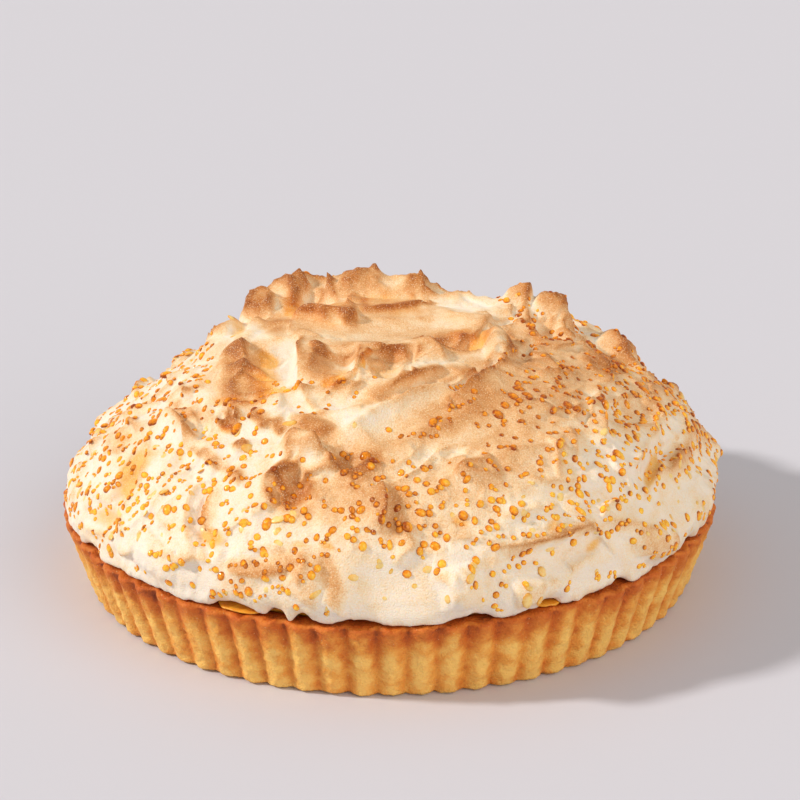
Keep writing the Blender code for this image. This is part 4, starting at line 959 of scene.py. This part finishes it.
def build_meringue():
    """The skin of foam, closed under its edge, with what its material reads."""
    places, triangles = disc_of_rings(SKIN_RINGS, SKIN_LENGTH)
    points = skin_point(places)
    height, _ = meringue_relief(places)
    raised = height - smoothed_over(height, triangles, RAISED_ROUNDS)
    keen = height - smoothed_over(height, triangles, KEEN_ROUNDS)
    high = np.clip((points[:, 2] - 50) / 50, 0, 1)
    at_back = np.clip((places[:, 1] - 30) / 40, 0, 1)
    toast_and_shade = TOAST_EVERYWHERE + TOAST_AT_BACK * high * at_back + TOAST_ON_RAISED * raised
    # Patches add toasting and, in places, painted shade
    toast_and_shade += TOAST_ON_KEEN * keen + TOAST_AND_SHADE_OF_PATCHES * sum_of_patches(places, TOAST_AND_PAINTED_SHADE)
    toast_and_shade += layered_noise(places, TOAST_CLOUDS)
    soak = layered_noise(places, SOAK_CLOUDS) - SOAK_OFF_RAISED * raised + sum_of_patches(places, SOAKED)
    rough = 1 - sum_of_patches(places, SMOOTHED)

    count = 6 * SKIN_RINGS
    first = len(points) - count
    edge = points[first:]
    inward = np.hypot(edge[:, 0], edge[:, 1])
    tucked = edge * ((inward - UNDER_EDGE_INSET) / inward)[:, None]
    tucked[:, 2] = MERINGUE_UNDERSIDE - UNDER_EDGE_DROP
    points = np.vstack([points, tucked, [[0, 0, MERINGUE_UNDERSIDE - UNDER_EDGE_DROP]]])
    for k in range(count):
        a, b = first + k, first + (k + 1) % count
        triangles += [(a, a + count, b), (b, a + count, b + count), (len(points) - 1, b + count, a + count)]
    meringue = new_object("meringue_skin", points, triangles, toasted_meringue())
    for name, values, least, most in (("toast_and_shade", toast_and_shade, 0, MOST_TOAST), ("rough", rough, 0.1, 1),
                                      ("soak", soak, 0, 1)):
        store(meringue, name, np.append(np.clip(values, least, most), np.zeros(count + 1)))
    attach(meringue, "root")
    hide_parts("meringue")


def unit_ball():
    """Points and triangles of a ball of 80 faces."""
    ball = bmesh.new()
    bmesh.ops.create_icosphere(ball, subdivisions=2, radius=1.0)
    ball.verts.index_update()
    points = np.array([v.co[:] for v in ball.verts])
    faces = np.array([[v.index for v in face.verts] for face in ball.faces])
    ball.free()
    return points, faces


def large_beads():
    """Map places, sizes and turns of the beads that the part's source has too."""
    random = np.random.default_rng(BEAD_SEED)
    golden = math.pi * (3 - math.sqrt(5))
    beads = []
    for k in range(LARGE_BEADS):
        along = SKIN_LENGTH * (0.42 + 0.5 * math.sqrt((k + 0.5) / LARGE_BEADS)) + random.uniform(-5, 5)
        around = golden * k + random.uniform(-0.2, 0.2)
        long, wide = random.uniform(1.7, 2.2), random.uniform(1.4, 1.8)
        beads.append((*(along * heading(around)), long, wide, random.uniform(0, math.pi)))
    return beads


def small_beads():
    """Beads in strings and scattered as thickly as each part of the skin has them."""
    random = np.random.default_rng(SMALL_BEAD_SEED)
    beads = []
    for row in STRINGS:
        start, end = np.array(row[:2]), np.array(row[2:4])
        for k in range(row.beads):
            share = (k + 0.5) / row.beads + random.uniform(-0.02, 0.02)
            middle = start + (end - start) * share + random.normal(0, 0.5, 2)
            size = 0.85 * row.radius * random.uniform(0.75, 1.2)
            beads.append((*middle, size * random.uniform(1, 1.3), size, random.uniform(0, math.pi)))
    around = random.uniform(0, 2 * math.pi, BEAD_TRIES)
    along = (SKIN_LENGTH - 5) * np.sqrt(random.uniform(0, 1, BEAD_TRIES))
    spots = along[:, None] * heading(around)
    wanted = random.uniform(0, 1.5, BEAD_TRIES) < 0.5 + sum_of_patches(spots, BEADED)
    taken = np.array([bead[:2] for bead in beads])
    for spot in spots[wanted & (along > BARE_TOP)]:
        if len(beads) >= MOST_SMALL_BEADS:
            break
        if np.min(np.hypot(*(taken - spot).T)) < random.uniform(2.6, 4.4):
            continue
        taken = np.vstack([taken, spot])
        size = 0.75 + 1.15 * random.beta(1.7, 2.4)
        stretch = 1 + 0.8 * random.beta(1, 3)
        if random.uniform() < BLOB_SHARE:
            size, stretch = random.uniform(1.7, 2.3), random.uniform(1.1, 1.7)
        beads.append((*spot, size * stretch, size, random.normal(math.pi / 2, 0.6)))
        for _ in range(random.choice(FOLLOWERS)):
            aside = random.uniform(0, 2 * math.pi)
            small = size * random.uniform(0.6, 0.95)
            spot = spot + (size + small) * 0.95 * heading(aside)
            beads.append((*spot, small * random.uniform(1, 1.15), small, aside))
            taken = np.vstack([taken, spot])
            size = small
    return beads


def flat_pools():
    """Shallow dry pools of thin syrup on the whiter foam."""
    random = np.random.default_rng(POOL_SEED)
    pools = []
    while len(pools) < POOLS:
        around = random.uniform(0, 2 * math.pi)
        place = SKIN_LENGTH * math.sqrt(random.uniform(0.12, 0.93)) * heading(around)
        if random.uniform(0, 1) > 0.35 - sum_of_patches(place[None], TOAST_AND_PAINTED_SHADE)[0]:
            continue
        size = random.uniform(0.9, 2.2)
        pools.append((*place, size * random.uniform(1, 1.9), size, random.uniform(0, math.pi)))
    return pools


def build_drops(name, drops, tallness, sink, material):
    """Many drops as one mesh, each part sunk in the skin and a little uneven."""
    random = np.random.default_rng(len(drops))
    ball, faces = unit_ball()
    places = np.array([d[:2] for d in drops])
    long, wide, turn = np.array([d[2:] for d in drops]).T
    centre, normal = skin_frame(places)
    first = unit(np.cross(normal, [0.0, 0.0, 1.0]))
    second = np.cross(normal, first)
    ahead = first * np.cos(turn)[:, None] + second * np.sin(turn)[:, None]
    tall = wide * tallness
    centre = centre - normal * (tall * sink)[:, None]
    axes = np.stack([ahead * long[:, None], np.cross(normal, ahead) * wide[:, None], normal * tall[:, None]])
    bumps = 1 + 0.1 * random.normal(0, 1, (len(drops), 1, 3)) * ball[None] * ball[None, :, ::-1]
    local = ball[None] * bumps
    points = centre[:, None] + sum(local[..., k:k + 1] * axes[k][:, None] for k in range(3))
    shifts = (np.arange(len(drops)) * len(ball))[:, None, None]
    all_faces = (faces[None] + shifts).reshape(-1, 3).tolist()
    drops_mesh = new_object(name, points.reshape(-1, 3), all_faces, material)
    # Deeper where the patches make the foam more toasted or paint shade on it, with a random spread
    burnt_and_lens_shade = 0.4 + np.clip(sum_of_patches(places, TOAST_AND_PAINTED_SHADE), -0.2, 0.4)
    burnt_and_lens_shade = burnt_and_lens_shade + 0.15 * random.normal(0, 1, len(drops))
    # Painted lens shade, darker on the side towards the window light, and painted ring shade, darker at each
    # drop's base
    facing = (points - centre[:, None]) / long[:, None, None] @ -unit(np.array([WINDOW.run]))[0]
    shade = LENS_SHADE * facing + RING_SHADE * (0.45 - ball[None, :, 2])
    store(drops_mesh, "burnt_and_lens_shade", np.clip(burnt_and_lens_shade[:, None] + shade, 0, 1).ravel())
    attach(drops_mesh, "root")


def flute_groove(angle):
    """0 on the round back of a flute, 1 in the soft groove between two."""
    return 1 - np.sqrt((np.sin(FLUTES * angle / 2) ** 2 + FLUTE_SOFTNESS) / (1 + FLUTE_SOFTNESS))


def build_crust():
    """The fluted case, ring by ring: foot, wall, rounded rim, uneven top, and inner side."""
    count = FLUTES * POINTS_A_FLUTE
    angles = 2 * math.pi * np.arange(count) / count
    out = heading(angles)
    rim = out * RIM_RADIUS
    groove = flute_groove(angles)
    slump, ragged_rim = layered_noise(rim, SLUMP), layered_noise(rim, RAGGED_RIM)
    depth_share = 1 + layered_noise(rim, DEPTH_SWING)
    ragged_foot = 0.5 + layered_noise(rim, RAGGED_FOOT)
    rings, browned_and_groove_shade = [], []

    def add_ring(radii, levels, brown_and_shade):
        rings.append(ring_at(radii, levels, angles))
        browned_and_groove_shade.append(np.broadcast_to(brown_and_shade, angles.shape))

    def unrolled(rise):
        return np.stack([angles * RIM_RADIUS, np.full(count, rise * UNROLLED_HEIGHT)], axis=1)

    def wall(rise):
        radius = BASE_RADIUS + (RIM_RADIUS - BASE_RADIUS) * rise
        depth = FLUTE_DEPTH_AT_BASE + (FLUTE_DEPTH_AT_RIM - FLUTE_DEPTH_AT_BASE) * rise
        rough = layered_noise(unrolled(rise), WALL_CRUMB)
        return radius - WALL_INSET - depth * groove * depth_share + slump * rise * 0.6 + rough * 0.8

    top = CRUST_HEIGHT - RIM_DIP
    rounding = top - RIM_ROUNDING
    add_ring(wall(0.0) - 2.0, 0.0, BROWN["under"])
    add_ring(wall(0.0) - 0.9 - 0.5 * ragged_foot, 0.15 + 0.9 * ragged_foot, BROWN["foot"])
    for rise in np.arange(WALL_ROWS + 1) / WALL_ROWS:
        scorched = 0.6 * np.clip((rise - 0.5 + 0.15 * slump) / 0.5, 0, 1) ** 1.4
        # Painted shade: the grooves between the flutes are made darker, on top of the wall's browning
        # towards the top
        brown_and_shade = BROWN["wall"] + scorched + 0.42 * groove + layered_noise(unrolled(rise), WORN_RIDGES)
        level = FOOT_BEVEL + (rounding - FOOT_BEVEL) * rise
        add_ring(wall(rise), level + ragged_rim * rise ** 4, brown_and_shade)
    for share in (0.35, 0.7, 1.0):
        turn = share * math.pi / 2
        levels = rounding + RIM_ROUNDING * math.sin(turn) + ragged_rim
        add_ring(wall(1.0) - RIM_ROUNDING * (1 - math.cos(turn)), levels, BROWN["rim"])
    outer = wall(1.0) - RIM_ROUNDING
    for share in (0.15, 0.4, 0.7, 1.0):
        rough = layered_noise(out * (RIM_RADIUS - 8 * share), RIM_CRUMB)
        levels = top + ragged_rim * (1 - share) + rough * (1 - share)
        add_ring(outer + (WALL_TOP_INNER_RADIUS - outer) * share, np.minimum(levels, CRUST_HEIGHT),
                 BROWN["top"])
    add_ring(WALL_FOOT_INNER_RADIUS, FLOOR_THICKNESS, BROWN["inside"])
    points, faces = joined_rings(rings)
    crust = new_object("crust_shell", points, faces, baked_shortcrust())
    store(crust, "browned_and_groove_shade", np.concatenate(browned_and_groove_shade + [[BROWN["under"], BROWN["inside"]]]))
    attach(crust, "root")
    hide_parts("crust")


def build_filling():
    """The curd inside the case, with its rounded lip under the meringue's edge."""
    angles = 2 * math.pi * np.arange(FILLING_STEPS) / FILLING_STEPS
    wobble = layered_noise(heading(angles) * RIM_RADIUS, FILLING_WOBBLE)
    run_out = np.zeros(FILLING_STEPS)
    for middle, half_width, reach in RUNS:
        share = np.clip(1 - (degrees_off(angles, middle) / half_width) ** 2, 0, None)
        run_out = np.maximum(run_out, reach * share)
    flange = FLANGE_RADIUS + run_out * (1 + 0.3 * wobble) + wobble
    rings = [(WALL_FOOT_INNER_RADIUS - FOOT_GAP[0], FLOOR_THICKNESS + FOOT_GAP[1]),
             (WALL_TOP_INNER_RADIUS - WALL_GAP, CRUST_HEIGHT)]
    rings += [(flange - back, CRUST_HEIGHT + over) for back, over in FILLING_LIP]
    rings += [(flange - FILLING_TOP_INSET, FILLING_TOP)]
    points, faces = joined_rings([ring_at(radii, level, angles) for radii, level in rings])
    filling = new_object("lemon_filling_layer", points, faces, lemon_curd())
    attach(filling, "root")
    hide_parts("lemon_filling")


# Floor, light and camera

def build_floor():
    """A wide flat floor, which isn't part of the tart."""
    corners = [(x * FLOOR_HALF, y * FLOOR_HALF, 0) for x, y in ((-1, -1), (1, -1), (1, 1), (-1, 1))]
    floor = new_object("floor", corners, [(0, 1, 2, 3)], pale_floor())


def build_light():
    """The window, the warm bounce, and the soft light of the room."""
    for sun in (WINDOW, WARM_BOUNCE):
        light = bpy.data.lights.new(sun.name, "SUN")
        light.energy, light.angle, light.color = sun.strength, math.radians(sun.softness), sun.colour
        lamp = bpy.data.objects.new(sun.name, light)
        lamp.rotation_euler = Vector(sun.run).to_track_quat("-Z", "Y").to_euler()
        bpy.context.scene.collection.objects.link(lamp)
    world = bpy.data.worlds.new("soft_room")
    world.use_nodes = True
    room = world.node_tree.nodes["Background"]
    room.inputs["Color"].default_value = ROOM_COLOUR
    room.inputs["Strength"].default_value = ROOM_STRENGTH
    bpy.context.scene.world = world
    bpy.context.scene.view_settings.view_transform = "Standard"


def build_camera():
    """The camera, turned from level and straight ahead by its yaw, tilt and roll."""
    rise = math.radians(CAMERA_HEIGHT_ANGLE)
    data = bpy.data.cameras.new("camera")
    data.lens, data.sensor_width = LENS, SENSOR
    camera = bpy.data.objects.new("camera", data)
    camera.matrix_world = (
        Matrix.Translation((0, -CAMERA_DISTANCE * math.cos(rise), CAMERA_DISTANCE * math.sin(rise)))
        @ Matrix.Rotation(-math.radians(CAMERA_YAW), 4, "Z")
        @ Matrix.Rotation(math.radians(90 - CAMERA_TILT), 4, "X")
        @ Matrix.Rotation(math.radians(CAMERA_ROLL), 4, "Z"))
    bpy.context.scene.collection.objects.link(camera)
    bpy.context.scene.camera = camera


build_camera()
build_light()
build_floor()
build_crust()
build_filling()
build_meringue()
build_drops("syrup_beads", large_beads() + small_beads(), BEAD_TALLNESS, BEAD_SINK,
            caramelised_syrup("caramelised_syrup", "#ffc63a", "#f0920f", "#963f02", 0.08, 0.05))
build_drops("syrup_pools", flat_pools(), POOL_TALLNESS, POOL_SINK,
            caramelised_syrup("dried_syrup", "#fbd68c", "#f3bb5b", "#e0962f", 0.3, 0.25))
